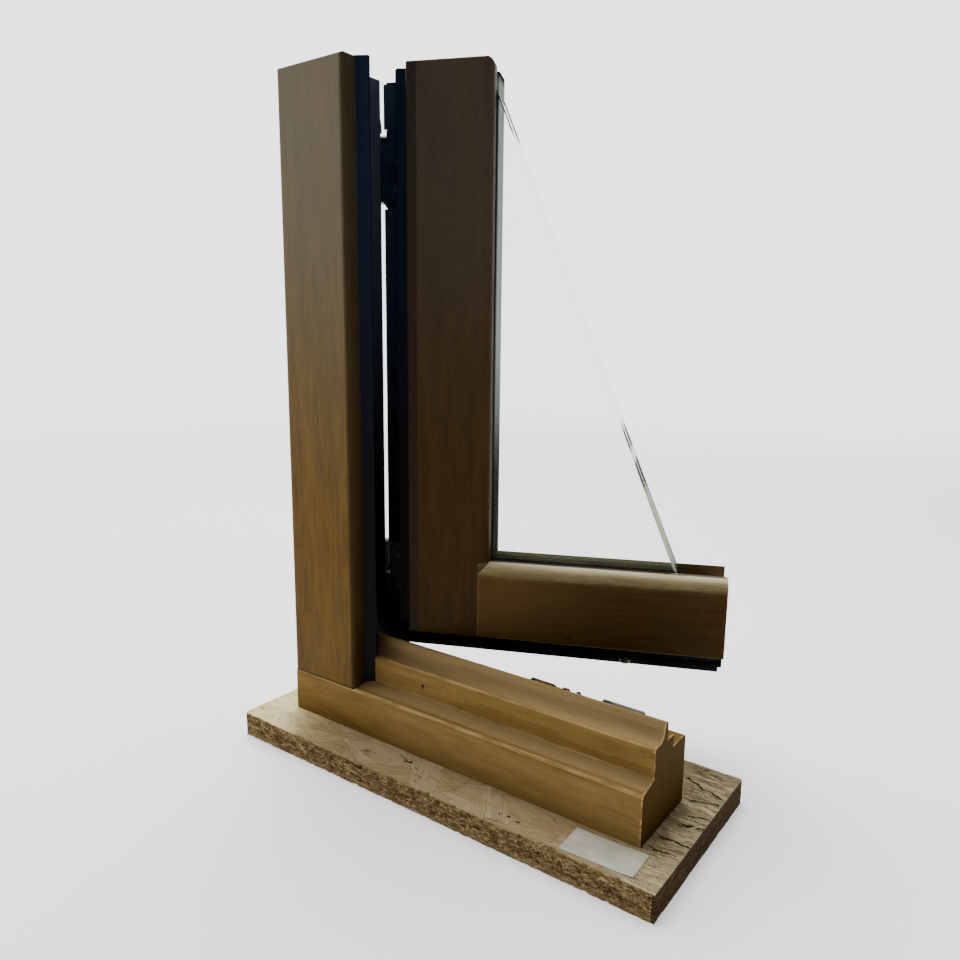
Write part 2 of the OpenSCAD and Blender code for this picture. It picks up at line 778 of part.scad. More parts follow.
// The slot along which the locking cam's neck slides, as (x, depth)
module cam_slot() {
    slot_r = cam_neck + rod_air;
    for (x = [cam_x, cam_x + cam_travel]) translate([x, groove_y]) circle(slot_r);
    translate([cam_x, groove_y - slot_r]) square([cam_travel, 2 * slot_r]);
}

// The angled face plate at the sash's lower corner, with the cam's slot and the runner that lifts the sash
module corner_drive() {
    color(steel) at_sash() {
        difference() {
            translate([edge_mid, groove_y - face_w / 2, foot_mid])
                cube([sash_len - edge_mid, face_w, face_t]);
            translate([0, 0, foot_mid - over]) linear_extrude(face_t + 2 * over) cam_slot();
        }
        translate([edge_mid, groove_y - face_w / 2, foot_mid]) cube([face_t, face_w, corner_leg]);
        translate([runner_x, 0, foot_mid]) upright(groove_y - runner_w / 2, runner_w)
            polygon([[0, 0], [runner_ramp, -runner_h], [runner_len - runner_ramp, -runner_h],
                [runner_len, 0]]);
    }
}

// The rod that slides behind the face plate, with its mushroom-headed locking cam
module drive_rod_rail() {
    color(steel) at_sash() {
        translate([rebate_a, groove_y - rod_w / 2, foot_mid + face_t])
            cube([sash_len - rebate_a, rod_w, rod_t]);
        translate([cam_x, groove_y, foot_mid - cam_h]) {
            cylinder(r = cam_neck, h = cam_h + face_t);
            cylinder(r = cam_r, h = cam_head);
        }
    }
}

// A sash leaf from z0 to z1 in its pocket, with the web that reaches the axis from k0 to k1
module sash_leaf(z0, z1, k0, k1) {
    web_a = axis_a - web_t / 2;
    translate([edge_lip + pocket_air, leaf_y, z0]) cube([lip_step - pocket_air, leaf_t, z1 - z0]);
    translate([edge_mid - leaf_t, leaf_y - leaf_return, z0]) cube([leaf_t, leaf_return + leaf_t, z1 - z0]);
    translate([web_a, leaf_y, k0]) cube([edge_lip + over - web_a, leaf_t, k1 - k0]);
    translate([web_a, leaf_y, k0]) cube([web_t, axis_b - leaf_y, k1 - k0]);
}

// The slanted gusset under the upper leaf's web, clear of the wood beside it
module leaf_gusset() {
    web_a = axis_a + web_t / 2;
    wood_a = edge_lip - pocket_air;
    upright(leaf_y, leaf_t) polygon([[web_a, upper_split], [edge_lip + over, upper_split],
        [edge_lip + over, upper_z], [wood_a, upper_z], [wood_a, upper_z - gusset_h], [web_a, upper_z]]);
}

module hinge_leaf_upper() {
    knuckle_top = head_z - knuckle_gap;
    color(steel) at_sash() difference() {
        union() {
            sash_leaf(upper_z, upper_top, upper_split, knuckle_top);
            leaf_gusset();
            translate([axis_a, axis_b, upper_split]) cylinder(r = knuckle_r, h = knuckle_top - upper_split);
        }
        translate([axis_a, axis_b, upper_split - over])
            cylinder(r = pin_r + pin_air, h = knuckle_top - upper_split + 2 * over);
    }
}

// The lower leaf's barrel stands over the bearing's pin: a long knuckle, a collar and a domed cap
module hinge_leaf_lower() {
    collar_z = lower_z + barrel_h;
    color(steel) at_sash() difference() {
        union() {
            sash_leaf(lower_z, lower_top, lower_z, collar_z);
            translate([axis_a, axis_b, lower_z]) cylinder(r = knuckle_r, h = lower_h - cap_h);
            translate([axis_a, axis_b, lower_top - cap_h]) domed(knuckle_r - ring, cap_h);
        }
        translate([axis_a, axis_b, 0]) {
            ring_groove(collar_z);
            ring_groove(collar_z + collar_h);
            translate([0, 0, lower_z - over]) cylinder(r = pin_r + pin_air, h = pin_up + knuckle_gap + over);
        }
    }
}

base_board();
label();
frame_sill();
frame_jamb();
frame_gasket();
striker_near();
striker_far();
hinge_plate_upper();
hinge_pin_upper();
hinge_bearing_lower();
sash_stile();
sash_rail();
pane_outer();
pane_inner();
spacer_bar();
unit_sealant();
packer_near();
packer_far();
bead_stile();
bead_rail();
sash_gasket_stile();
sash_gasket_rail();
corner_drive();
drive_rod_rail();
hinge_leaf_upper();
hinge_leaf_lower();
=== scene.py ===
# %% [markdown]
# # Corner sample of a timber window
#
# The real object is a display piece: a sill, a jamb and one corner of an opening sash on a strand
# board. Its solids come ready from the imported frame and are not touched. This lesson gives them
# their finishes, and adds what is too fine for a solid: rough chips, sealant, screws and paper.

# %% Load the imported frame
import json
import math
from random import Random

import bmesh
import bpy
from mathutils import Matrix, Vector, noise


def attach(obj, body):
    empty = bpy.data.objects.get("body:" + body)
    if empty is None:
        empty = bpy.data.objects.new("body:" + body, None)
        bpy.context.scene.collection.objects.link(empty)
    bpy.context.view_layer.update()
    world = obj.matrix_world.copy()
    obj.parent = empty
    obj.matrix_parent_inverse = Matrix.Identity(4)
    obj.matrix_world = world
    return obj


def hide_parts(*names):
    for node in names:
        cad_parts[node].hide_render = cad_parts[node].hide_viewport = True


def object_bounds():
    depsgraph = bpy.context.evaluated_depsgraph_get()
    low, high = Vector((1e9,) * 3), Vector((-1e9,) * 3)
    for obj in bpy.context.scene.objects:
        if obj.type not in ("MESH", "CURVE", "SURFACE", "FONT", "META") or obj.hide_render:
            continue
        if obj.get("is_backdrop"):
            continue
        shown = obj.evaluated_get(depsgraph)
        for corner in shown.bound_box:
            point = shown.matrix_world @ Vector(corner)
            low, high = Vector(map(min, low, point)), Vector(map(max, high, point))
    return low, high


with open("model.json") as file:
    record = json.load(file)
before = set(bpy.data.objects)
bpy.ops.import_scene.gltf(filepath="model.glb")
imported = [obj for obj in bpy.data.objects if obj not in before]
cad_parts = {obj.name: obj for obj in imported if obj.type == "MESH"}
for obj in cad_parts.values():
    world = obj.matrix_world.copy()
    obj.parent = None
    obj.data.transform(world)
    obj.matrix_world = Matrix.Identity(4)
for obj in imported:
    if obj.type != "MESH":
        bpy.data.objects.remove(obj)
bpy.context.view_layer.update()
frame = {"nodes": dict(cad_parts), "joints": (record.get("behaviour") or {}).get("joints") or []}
nodes = frame["nodes"]

# %% [markdown]
# ## Two drawings, one room
#
# A joiner draws the frame and the sash each in its own millimetres, square to its own edges. The
# sash stands open, so its drawing is turned in the room. Two matrices carry the drawings into the
# room, and every piece and every pattern below is written in the plain numbers of its drawing.

# %% The spaces of the frame and of the sash
MM = 0.001
BOARD_T = 20.0
FRAME_CORNER = Vector((-161.25, -43.5, BOARD_T))
HINGE_IN_SASH = Vector((-39.5, 63.7, 0.0))
OPEN = math.radians(23.4)

hinge = Vector(frame["joints"][0]["pos_m"]) / MM
room = Matrix.Identity(4)
frame_space = Matrix.Translation(FRAME_CORNER)
sash_space = (
    Matrix.Translation((hinge.x, hinge.y, BOARD_T))
    @ Matrix.Rotation(OPEN, 4, "Z")
    @ Matrix.Translation(-HINGE_IN_SASH)
)
print("sash corner in the room, mm:", [round(x, 2) for x in sash_space.to_translation()])


# %% [markdown]
# ## Shader sums written as Python
#
# A procedural finish is mostly arithmetic on positions. Wiring that by hand hides the idea, so one
# small class wraps a socket: `a * b` adds a Math node, and `node` makes any other node.

# %% A socket that can be added and multiplied
class Wire:
    """An output socket. Python's operators on it add Math nodes to its tree."""

    def __init__(self, tree, socket=None):
        self.tree = tree
        self.socket = socket

    def node(self, kind, settings=None, inputs=None, out=0):
        """Adds a node: its settings first, then the values or links of its sockets."""
        made = self.tree.nodes.new(kind)
        for key, value in (settings or {}).items():
            if key == "stops":
                set_stops(made.color_ramp, value)
            else:
                setattr(made, key, value)
        for key, value in (inputs or {}).items():
            if isinstance(value, Wire):
                self.tree.links.new(value.socket, made.inputs[key])
            else:
                made.inputs[key].default_value = value
        return Wire(self.tree, made.outputs[out])

    def math(self, operation, *others):
        """A Math node that takes this wire first and then the others."""
        inputs = dict(enumerate((self, *others)))
        return self.node("ShaderNodeMath", {"operation": operation}, inputs)

    def __add__(self, other):
        return self.math("ADD", other)

    def __sub__(self, other):
        return self.math("SUBTRACT", other)

    def __rsub__(self, other):
        return self.math("MULTIPLY_ADD", -1.0, other)

    def __mul__(self, other):
        return self.math("MULTIPLY", other)

    def __gt__(self, other):
        return self.math("GREATER_THAN", other)

    def __lt__(self, other):
        return self.math("LESS_THAN", other)

    __radd__ = __add__
    __rmul__ = __mul__


def set_stops(ramp, stops):
    """Gives a colour ramp its stops, as (place, colour) pairs."""
    while len(ramp.elements) > 1:
        ramp.elements.remove(ramp.elements[-1])
    for number, (place, colour) in enumerate(stops):
        stop = ramp.elements[0] if number == 0 else ramp.elements.new(place)
        stop.position = place
        stop.color = colour


# %% Small helpers on wires
def rise(value, low, high):
    """0 below low, 1 above high and a soft slope between. With low above high it falls."""
    settings = {"interpolation_type": "SMOOTHSTEP", "clamp": True}
    inputs = {"Value": value, "From Min": low, "From Max": high, "To Min": 0.0, "To Max": 1.0}
    return value.node("ShaderNodeMapRange", settings, inputs)


def blend(share, first, second):
    """A colour that goes from the first to the second as share goes from 0 to 1."""
    settings = {"data_type": "RGBA", "clamp_factor": True}
    return share.node("ShaderNodeMix", settings, {0: share, 6: first, 7: second}, out=2)


def grains(at, size, detail=2.0, roughness=0.5, out=0):
    """Noise whose spots measure size = (x, y, z) millimetres. out may be "Color" for three at once."""
    scaled = at.node("ShaderNodeVectorMath", {"operation": "DIVIDE"}, {0: at, 1: size})
    inputs = {"Vector": scaled, "Scale": 1.0, "Detail": detail, "Roughness": roughness}
    return at.node("ShaderNodeTexNoise", {"normalize": True}, inputs, out)


def split(at):
    """The three parts of a vector."""
    return [at.node("ShaderNodeSeparateXYZ", None, {0: at}, out=k) for k in range(3)]


def join(x, y, z):
    """A vector from three parts."""
    return x.node("ShaderNodeCombineXYZ", None, {0: x, 1: y, 2: z})


def srgb(red, green, blue):
    """A colour read off a screen, 0 to 255, as a shader takes it."""
    parts = [c / 255 for c in (red, green, blue)]
    return [c / 12.92 if c <= 0.04045 else ((c + 0.055) / 1.055) ** 2.4 for c in parts] + [1.0]


# %% [markdown]
# ## How a finish starts and ends
#
# Each finish reads Object coordinates and turns them into the millimetres of its drawing, so that
# grain runs true in the open sash and swings with it. What is the same all over a surface is set
# on the shader's own sockets.

# %% Open and close a finish
def start(name, space, fixed):
    """A new material: its shader node and the position in the drawing's millimetres."""
    material = bpy.data.materials.new(name)
    material.use_nodes = True
    shader = material.node_tree.nodes["Principled BSDF"]
    for key, value in fixed.items():
        shader.inputs[key].default_value = value
    back = space.inverted()
    inputs = {
        "Location": back.to_translation(),
        "Rotation": back.to_euler(),
        "Scale": (1 / MM, 1 / MM, 1 / MM),
    }
    tree = Wire(material.node_tree)
    inputs["Vector"] = tree.node("ShaderNodeTexCoord", out="Object")
    return material, shader, tree.node("ShaderNodeMapping", {"vector_type": "POINT"}, inputs)


def feed(shader, links, height=None, deep=0.3):
    """Links wires to the shader, and a height in units of deep millimetres to its normal."""
    tree = shader.id_data
    for key, wire in links.items():
        tree.links.new(wire.socket, shader.inputs[key])
    if height is not None:
        inputs = {"Height": height, "Distance": deep * MM, "Strength": 1.0}
        bump = Wire(tree).node("ShaderNodeBump", None, inputs, out="Normal")
        tree.links.new(bump.socket, shader.inputs["Normal"])


# %% [markdown]
# ## Timber
#
# A plank is a slice through rings that lie round the pith. If the pattern is built from rings and
# then stretched along the grain, faces show long streaks and the sawn ends show rings by
# themselves. Noise bends the rings, darkens single streaks and sets the short open pores.

# %% Grain of a plank
RING = 3.2


def plank(at, along, pith):
    """A plank's pattern: place along the grain, all three places, rings, patches, streaks, pores."""
    x, y, z = split(at)
    u, v, w = (x, z, y) if along == "x" else (z, x, y)
    grain = join(u, v, w)
    broad = grains(grain, (240, 30, 30), 3.0) * 0.6 + grains(grain, (34, 9, 9), 2.0) * 0.4
    streak = grains(grain, (75, 2.2, 2.2), 3.0, 0.6)
    across = v - pith[0]
    deep = w - pith[1]
    reach = (across * across + deep * deep).math("SQRT")
    bent = reach + grains(grain, (130, 26, 26), 2.0) * 16 + streak * 1.5
    rings = (bent * (2 * math.pi / RING)).math("SINE") * 0.5 + 0.5
    pores = rise(grains(grain, (8, 0.8, 0.8), 1.0), 0.6, 0.7)
    return u, grain, rings, broad, streak, pores


def timber(name, space, along, pith, tones, ends, sheen=0.06):
    """A varnished plank. tones are (dark, light, sawn end); ends are the places of its cut ends."""
    material, shader, at = start(name, space, {"Specular IOR Level": sheen})
    u, grain, rings, broad, streak, pores = plank(at, along, pith)
    share = rings * 0.17 + broad * 1.4 + streak * 0.8 - 0.7
    colour = blend(share, tones[0], tones[1])
    patches = rise(grains(grain, (46, 12, 12), 1.0), 0.4, 0.6)
    colour = blend(pores * (patches * 0.26 + 0.05), colour, tones[2])
    cut = (u < ends[0] + 0.08) + (u > ends[1] - 0.08)
    speck = grains(grain, (3, 0.8, 0.8), 2.0)
    sawn = blend(rings * 0.5 + speck * 0.7 - 0.2, tones[2], tones[0])
    colour = blend(cut, colour, sawn)
    rough = 0.38 + streak * 0.16 + pores * 0.1 + cut * 0.2
    height = streak * 0.25 + rings * 0.06 - pores * 0.4 + cut * (speck * 1.6)
    return material, shader, at, (colour, rough, height, cut)


print("timber finish ready, rings in mm:", RING)

# %% [markdown]
# ### The jamb
#
# The jamb's face is paler and greyer near its top, a painted reflection of the sky, and its rebate
# beside the sash is dark with painted shade. Both are masks on the position: height for the first,
# distance from the arris for the second. Dark surfaces turn from black to the painted blue of the
# sky between the two heights of SKYLIT.

# %% Jamb finish
JAMB_W, FRAME_TOP, FOOT_Z = 71.0, 521.0, 35.4
SKYLIT = (180, 480)
JAMB_TONES = (srgb(67, 47, 11), srgb(114, 84, 25), srgb(36, 24, 8))

jamb_wood, shader, at, (colour, rough, height, cut) = timber(
    "jamb_wood", frame_space, "z", (30, 95), JAMB_TONES, (0.0, FRAME_TOP)
)
x, y, z = split(at)
# Painted reflection of the sky: the face turns paler and greyer towards the top.
colour = blend(rise(z, 130, 500) * 0.68, colour, srgb(105, 101, 86))
lines = grains(at, (1.5, 1.5, 22), 2.0)
worked = (rise(grains(at, (16, 16, 90), 1.0), 0.42, 0.6) * 0.7 + 0.3) * (1 - cut)
colour = blend(rise(lines, 0.54, 0.7) * worked * 0.14, colour, srgb(66, 54, 34))
colour = blend(rise(lines, 0.44, 0.3) * worked * 0.1, colour, srgb(160, 146, 116))
shade = rise(x, JAMB_W - 5.5, JAMB_W - 1.5) * (y < 12.0)
# Painted shade in the rebate beside the sash, with a painted reflection of the sky higher up.
rebate = (x > JAMB_W - 5) * rise(y, 6.0, 16.0) + (y > 18.0) * (x > 44.0) * (1 - cut)
colour = blend(shade * 0.75, colour, srgb(36, 23, 10))
high_rebate = blend(y > 18.0, srgb(44, 38, 36), srgb(74, 80, 92))
colour = blend(rebate, colour, blend(rise(z, *SKYLIT), srgb(14, 14, 14), high_rebate))
# Painted shadow in the groove where the jamb's foot meets the sill's nose.
foot = rise(z, FOOT_Z + 1.7, FOOT_Z + 1.1) * (y < 4.0)
colour = blend(foot * 0.95, colour, srgb(12, 6, 3))
# Painted highlight along the left arris.
arris_highlight = rise((x - 1.0).math("ABSOLUTE"), 1.6, 0.2) * (y < 2.5)
colour = blend(arris_highlight * 0.3, colour, srgb(170, 145, 108))
feed(shader, {"Base Color": colour, "Roughness": rough}, height)
print("jamb tones:", len(JAMB_TONES))

# %% [markdown]
# ### The sill
#
# The sill's rounded nose, the upstand's edge and the ridge carry painted highlights, mixed with
# rubbed wear. One small dead knot with a short tail marks the upstand.

# %% Sill finish
SILL_LEN = 326.0
SILL_TONES = (srgb(94, 70, 30), srgb(142, 113, 61), srgb(50, 34, 14))
ARRISES = ((0.9, 35.6, 2.1), (17.6, 61.2, 1.6), (34.2, 72.8, 1.6), (17.4, 40.3, 1.4))
KNOT_X, KNOT_Z = 129.0, 49.5

sill_wood, shader, at, (colour, rough, height, cut) = timber(
    "sill_wood", frame_space, "x", (20, 120), SILL_TONES, (0.0, SILL_LEN), 0.03
)
x, y, z = split(at)
flecks = rise(grains(at, (7.0, 0.9, 0.9), 2.0), 0.6, 0.7) * rise(grains(at, (50, 20, 20), 1.0), 0.42, 0.6)
colour = blend(flecks * 0.4, colour, srgb(58, 38, 14))
# Painted highlights along the arrises, with some rubbed wear in them.
rubbed_and_lit = rise(grains(at, (22, 3.0, 3.0), 3.0, 0.6), 0.36, 0.6) * 0.42 + 0.18
for deep, high, wide in ARRISES:
    off = ((y - deep) * (y - deep) + (z - high) * (z - high)).math("SQRT")
    colour = blend(rise(off, wide, wide * 0.3) * (1 - cut) * rubbed_and_lit, colour, srgb(186, 158, 108))
# Painted light: the up-facing shelf and cove are paler.
level = rise(y, 3.0, 6.0) * (y < 16.9) * (z < 41.0) + (y > 19.0) * (z > 61.4) * (y < 33.0)
colour = blend(level * (1 - cut) * 0.45, colour, srgb(160, 138, 100))
front = rise(x, 60, 140) * (y < 0.6) * (z < 33.0)
colour = blend(front * (1 - cut) * 0.15, colour, srgb(172, 144, 96))
# Painted shade on the ridge beside the jamb.
corner = rise(x, 104, 72) * (y > 17.0)
colour = blend(corner * (1 - cut) * 0.55, colour, srgb(62, 42, 18))
ragged = rise(grains(at, (2.4, 4.0, 4.0), 4.0, 0.7), 0.46, 0.56)
ragged = ragged * rise(x, SILL_LEN - 1.9, SILL_LEN - 0.5)
colour = blend(ragged * (1 - cut) * 0.6, colour, srgb(196, 172, 122))
side = (x - KNOT_X) * 0.9
drop = (z - KNOT_Z) * 0.8
knot = rise((side * side + drop * drop).math("SQRT"), 1.5, 0.7)
tail = rise((side - 0.5 + drop * 0.2).math("ABSOLUTE"), 0.6, 0.2)
tail = tail * (drop < 0.0) * (drop > -3.0)
mark = knot.math("MAXIMUM", tail * 0.6) * (y < 19.0) * (1 - cut)
colour = blend(mark, colour, srgb(34, 20, 9))
saw_lines = grains(at, (9.0, 1.1, 60), 2.0)
colour = blend(cut * 0.85, colour, blend(saw_lines, srgb(56, 39, 4), srgb(84, 61, 14)))
feed(shader, {"Base Color": colour, "Roughness": rough}, height - mark * 2.0)
print("rubbed arrises:", len(ARRISES))


# %% [markdown]
# ### The sash
#
# Stile, rail and beads share one dark tone, darker than the jamb's in part as painted shade. Their
# drawing turns with the sash. Everything behind the outdoor face towards the frame is the rebate,
# which looks black: painted shade, turning to a painted reflection of the sky higher up.

# %% Sash finishes
STILE_W, RAIL_TOP, SASH_FOOT, SASH_LEN = 66.4, 141.8, 79.8, 252.4
JOINT_A, LIP_B = 58.4, 48.0
# Darker than the jamb's tones, in part as painted shade on faces turned from the light.
SHADED_SASH_TONES = (srgb(44, 28, 6), srgb(72, 50, 13), srgb(22, 13, 3))


def sash_timber(name, along, pith, ends, edge=None, tones=SHADED_SASH_TONES):
    """A plank of the sash. edge is the stile side of the corner joint, or None."""
    material, shader, at, (colour, rough, height, _) = timber(
        name, sash_space, along, pith, tones, ends
    )
    a, b, z = split(at)
    # Painted reflection of the sky: greyer towards the top.
    colour = blend(rise(z, 170, 480) * 0.66, colour, srgb(69, 63, 56))
    colour = blend(rise(a, 9.0, 7.5) * (b < 3.0) * 0.62, colour, srgb(30, 23, 22))
    near = rise(a, 190, 70) * (z < RAIL_TOP) * (a > JOINT_A) * (b < 3.0)
    colour = blend(near * 0.35, colour, srgb(108, 82, 40))
    # Painted highlight along the rail's top rounding, with pale scuffs in it, brightest at the crest.
    waves = grains(at, (60, 9.0, 5.0), 3.0) * 7.0 + grains(at, (11, 3.0, 1.6), 3.0, 0.6) * 4.0 - 5.5
    lit = rise(z + waves, RAIL_TOP - 13.0, RAIL_TOP - 0.5)
    lit = lit * (b < 9.0) * (a > STILE_W - 8) * (z < RAIL_TOP + 0.5)
    colour = blend(lit * 0.62, colour, srgb(186, 170, 124))
    scuffs_and_highlight = rise(grains(at, (26, 1.6, 0.9), 3.0, 0.65), 0.55, 0.68) * rise(lit, 0.5, 0.9)
    colour = blend(scuffs_and_highlight * 0.35, colour, srgb(216, 206, 172))
    crest = rise(z + waves * 0.3, RAIL_TOP - 3.5, RAIL_TOP - 0.5) * lit
    colour = blend(crest * 0.34, colour, srgb(228, 222, 180))
    # Painted shade: a dark triangle at the mitre, where the rail's top takes no highlight.
    mitre = rise(z - RAIL_TOP + 9.0 - (a - JOINT_A) * 1.1, 0.0, 0.8) * (z < RAIL_TOP + 0.5)
    mitre = mitre * (b < 9.0) * (a > JOINT_A - 0.4)
    colour = blend(mitre * 0.85, colour, srgb(48, 33, 12))
    # Painted shade in the rebate, turning to a painted reflection of the sky higher up.
    dark = ((a < -0.5) + (z < SASH_FOOT - 0.5)) * (b < LIP_B + 0.1) * (b > 2.0)
    colour = blend(dark, colour, blend(rise(z, *SKYLIT), srgb(9, 9, 9), srgb(4, 27, 60)))
    glint = rise(grains(at, (7.0, 0.7, 0.7), 2.0), 0.62, 0.7) * rise(grains(at, (26, 9, 9), 1.0), 0.45, 0.55)
    colour = blend(glint * dark * (z < 90.0) * 0.5, colour, srgb(112, 114, 106))
    if edge == "stile":
        line = rise(a, JOINT_A - 0.9, JOINT_A - 0.1) * (a < JOINT_A + 0.2)
        line = line * (z < RAIL_TOP - 8) * (b < 3.0)
        colour = blend(line * 0.8, colour, srgb(30, 20, 12))
    if edge == "rail":
        line = rise(a, JOINT_A + 0.9, JOINT_A + 0.1) * (b < 3.0)
        colour = blend(line * 0.6, colour, srgb(140, 115, 80))
        knot = rise(grains(join(a - 118, b, (z - 84)), (9, 9, 5), 1.0), 0.6, 0.75)
        colour = blend(knot * (a < 136) * (a > 104) * (z < 92) * 0.5, colour, srgb(38, 25, 14))
    feed(shader, {"Base Color": colour, "Roughness": rough}, height)
    return material


stile_wood = sash_timber("stile_wood", "z", (20, 90), (0.0, FRAME_TOP), "stile")
rail_wood = sash_timber("rail_wood", "x", (110, 110), (0.0, SASH_LEN), "rail")
bead_upright_wood = sash_timber("bead_upright_wood", "z", (60, 160), (0.0, FRAME_TOP))
BEAD_TONES = (srgb(84, 66, 38), srgb(118, 96, 62), srgb(22, 13, 3))
bead_level_wood = sash_timber("bead_level_wood", "x", (130, 160), (0.0, SASH_LEN), tones=BEAD_TONES)
print("sash finishes ready, corner joint at mm:", JOINT_A)

# %% [markdown]
# ## Strand board
#
# The board's top is pressed from long flat strands that lie at odd angles over each other. Each
# layer below is a stretched cell pattern turned by its own angle. A cell's random value says
# whether that strand lies on top and what its tone is.

# %% One layer of strands
def cell_value(cells):
    """A random value from 0 to 1 for each cell of a cell pattern."""
    settings = {"feature": "F1"}
    return split(cells.node("ShaderNodeTexVoronoi", settings, {"Vector": cells, "Scale": 1.0}, out=1))[0]


def cell_edge(cells):
    """Closeness to the edge of a cell: 0 on the edge."""
    settings = {"feature": "DISTANCE_TO_EDGE"}
    return cells.node("ShaderNodeTexVoronoi", settings, {"Vector": cells, "Scale": 1.0})


def strands(at, angle, long, wide):
    """A layer of flat strands: value of each strand, closeness to its edge, its own grain."""
    inputs = {"Vector": at, "Rotation": (0.0, 0.0, math.radians(angle))}
    turned = at.node("ShaderNodeMapping", {"vector_type": "POINT"}, inputs)
    bent = turned.node(
        "ShaderNodeVectorMath",
        {"operation": "MULTIPLY_ADD"},
        {0: grains(turned, (16, 16, 16), 3.0, 0.6, out="Color"), 1: (16.0, 9.0, 0.0), 2: turned},
    )
    size = {"operation": "DIVIDE"}
    cells = bent.node("ShaderNodeVectorMath", size, {0: bent, 1: (long, wide, 1000.0)})
    grain = grains(turned, (28, 1.5, 40), 4.0, 0.7)
    return cell_value(cells), cell_edge(cells), grain


# %% Board finish
BOARD_L, BOARD_D = 380.5, 156.0
STRAND_STOPS = [
    (0.0, srgb(140, 119, 84)),
    (0.35, srgb(152, 133, 98)),
    (0.7, srgb(162, 144, 109)),
    (1.0, srgb(146, 124, 88)),
]
# Each layer: its angle, the strands' length and width, and the share of the board it leaves bare.
LAYERS = ((-26, 84, 27, 0.5), (61, 62, 24, 0.72), (-7, 105, 22, 0.62))
# Each crack: from x, y to x, y on the board's top, and half its width.
CRACKS = (
    (157.3, 54.2, 172.6, 46.7, 1.3),
    (172.6, 46.7, 186.9, 42.4, 1.1),
    (175.0, -2.8, 190.2, 0.4, 1.6),
    (175.5, -3.2, 179.5, -2.0, 3.6),
    (171.5, -23.9, 189.5, -23.2, 1.3),
    (167.2, 27.6, 187.2, 33.9, 1.1),
    (176.8, 9.4, 188.3, 12.3, 1.0),
    (168.0, -38.5, 186.0, -36.8, 0.8),
    (-27.0, -55.0, -21.0, -53.6, 1.3),
    (-34.0, -50.5, -12.0, -58.0, 0.6),
    (77.0, -65.7, 78.2, -65.5, 1.1),
    (85.6, -67.1, 86.6, -66.8, 1.0),
)


def crack(at, x0, y0, x1, y1, wide):
    """1 on a crack between two points of the board's top, and 0 away from it."""
    run = Vector((x1 - x0, y1 - y0, 0.0))
    settings = {"operation": "SUBTRACT"}
    off = at.node("ShaderNodeVectorMath", settings, {0: at, 1: (x0, y0, 0.0)})
    unit = run / run.length_squared
    dot = at.node("ShaderNodeVectorMath", {"operation": "DOT_PRODUCT"}, {0: off, 1: unit}, 1)
    share = dot.math("MINIMUM", 1.0).math("MAXIMUM", 0.0)
    foot = at.node("ShaderNodeVectorMath", {"operation": "SCALE"}, {0: run, 3: share})
    away = at.node("ShaderNodeVectorMath", {"operation": "DISTANCE"}, {0: off, 1: foot}, 1)
    return rise(away, wide, wide * 0.35)


board_finish, shader, at = start("board_finish", room, {"Specular IOR Level": 0.02})
x, y, z = split(at)
flat = join(x, y, z * 0.0)
tone, edge, fibre = strands(flat, 8, 98, 30)
line = rise(edge, 0.035, 0.008)
for angle, long, wide, need in LAYERS:
    value, edge, grain = strands(flat, angle, long, wide)
    over = value > need
    tone = over * (value * 7.3).math("FRACT") + (1 - over) * tone
    line = over * rise(edge, 0.04, 0.008) + (1 - over) * line
    fibre = over * grain + (1 - over) * fibre
colour = tone.node("ShaderNodeValToRGB", {"stops": STRAND_STOPS}, {0: tone})
worn_end = rise(x, 140, 168)
# Painted glare: the top turns pale towards the board's left end.
colour = blend(rise(x, -95, -165) * 0.8, colour, srgb(234, 216, 160))
colour = blend(worn_end * 0.38, colour, srgb(180, 168, 130))
colour = blend(rise(fibre, 0.5, 0.66) * 0.5, colour, srgb(100, 80, 50))
colour = blend(rise(fibre, 0.46, 0.32) * 0.38, colour, srgb(196, 180, 144))
smudge = rise(grains(flat, (46, 24, 9), 3.0, 0.6), 0.5, 0.68)
colour = blend(smudge * 0.32, colour, srgb(112, 84, 52))
wobble = grains(flat, (6, 6, 6), 3.0, 0.6, out="Color")
settings = {"operation": "MULTIPLY_ADD"}
torn = flat.node("ShaderNodeVectorMath", settings, {0: wobble, 1: (6.0, 7.0, 0.0), 2: flat})
torn = flat.node("ShaderNodeVectorMath", {"operation": "SUBTRACT"}, {0: torn, 1: (3.0, 3.5, 0.0)})
open_cracks = crack(torn, *CRACKS[0])
for place in CRACKS[1:]:
    open_cracks = open_cracks.math("MAXIMUM", crack(torn, *place))
swirl = grains(flat, (30, 13, 9), 3.0, 0.55)
curves = rise((swirl - 0.52).math("ABSOLUTE"), 0.011, 0.003)
curves = curves * rise(grains(flat, (18, 12, 9), 2.0), 0.5, 0.58)
gaps = (line * 0.28).math("MAXIMUM", curves) * rise(grains(flat, (22, 22, 22), 2.0), 0.4, 0.6)
dashes = rise(grains(flat, (7, 0.8, 9), 2.0), 0.62, 0.72) * rise(grains(flat, (30, 18, 9), 1.0), 0.42, 0.58)
sore = rise(grains(flat, (24, 15, 9), 2.0), 0.4, 0.58) * (rise(y, -55, -15) * 0.75 + 0.25) * worn_end
splits = rise(grains(torn, (16, 1.3, 9), 3.0, 0.65), 0.52, 0.6) * sore
folds = grains(torn, (34, 4.2, 9), 4.0, 0.6)
fold_line = rise((folds - 0.5).math("ABSOLUTE"), 0.022, 0.006)
fine_line = rise((folds - 0.4).math("ABSOLUTE"), 0.016, 0.005)
veins = fold_line.math("MAXIMUM", fine_line) * worn_end * (sore * 0.6 + 0.4)
dark = gaps.math("MAXIMUM", dashes)
dark = dark.math("MAXIMUM", splits * 0.9)
dark = dark.math("MAXIMUM", veins)
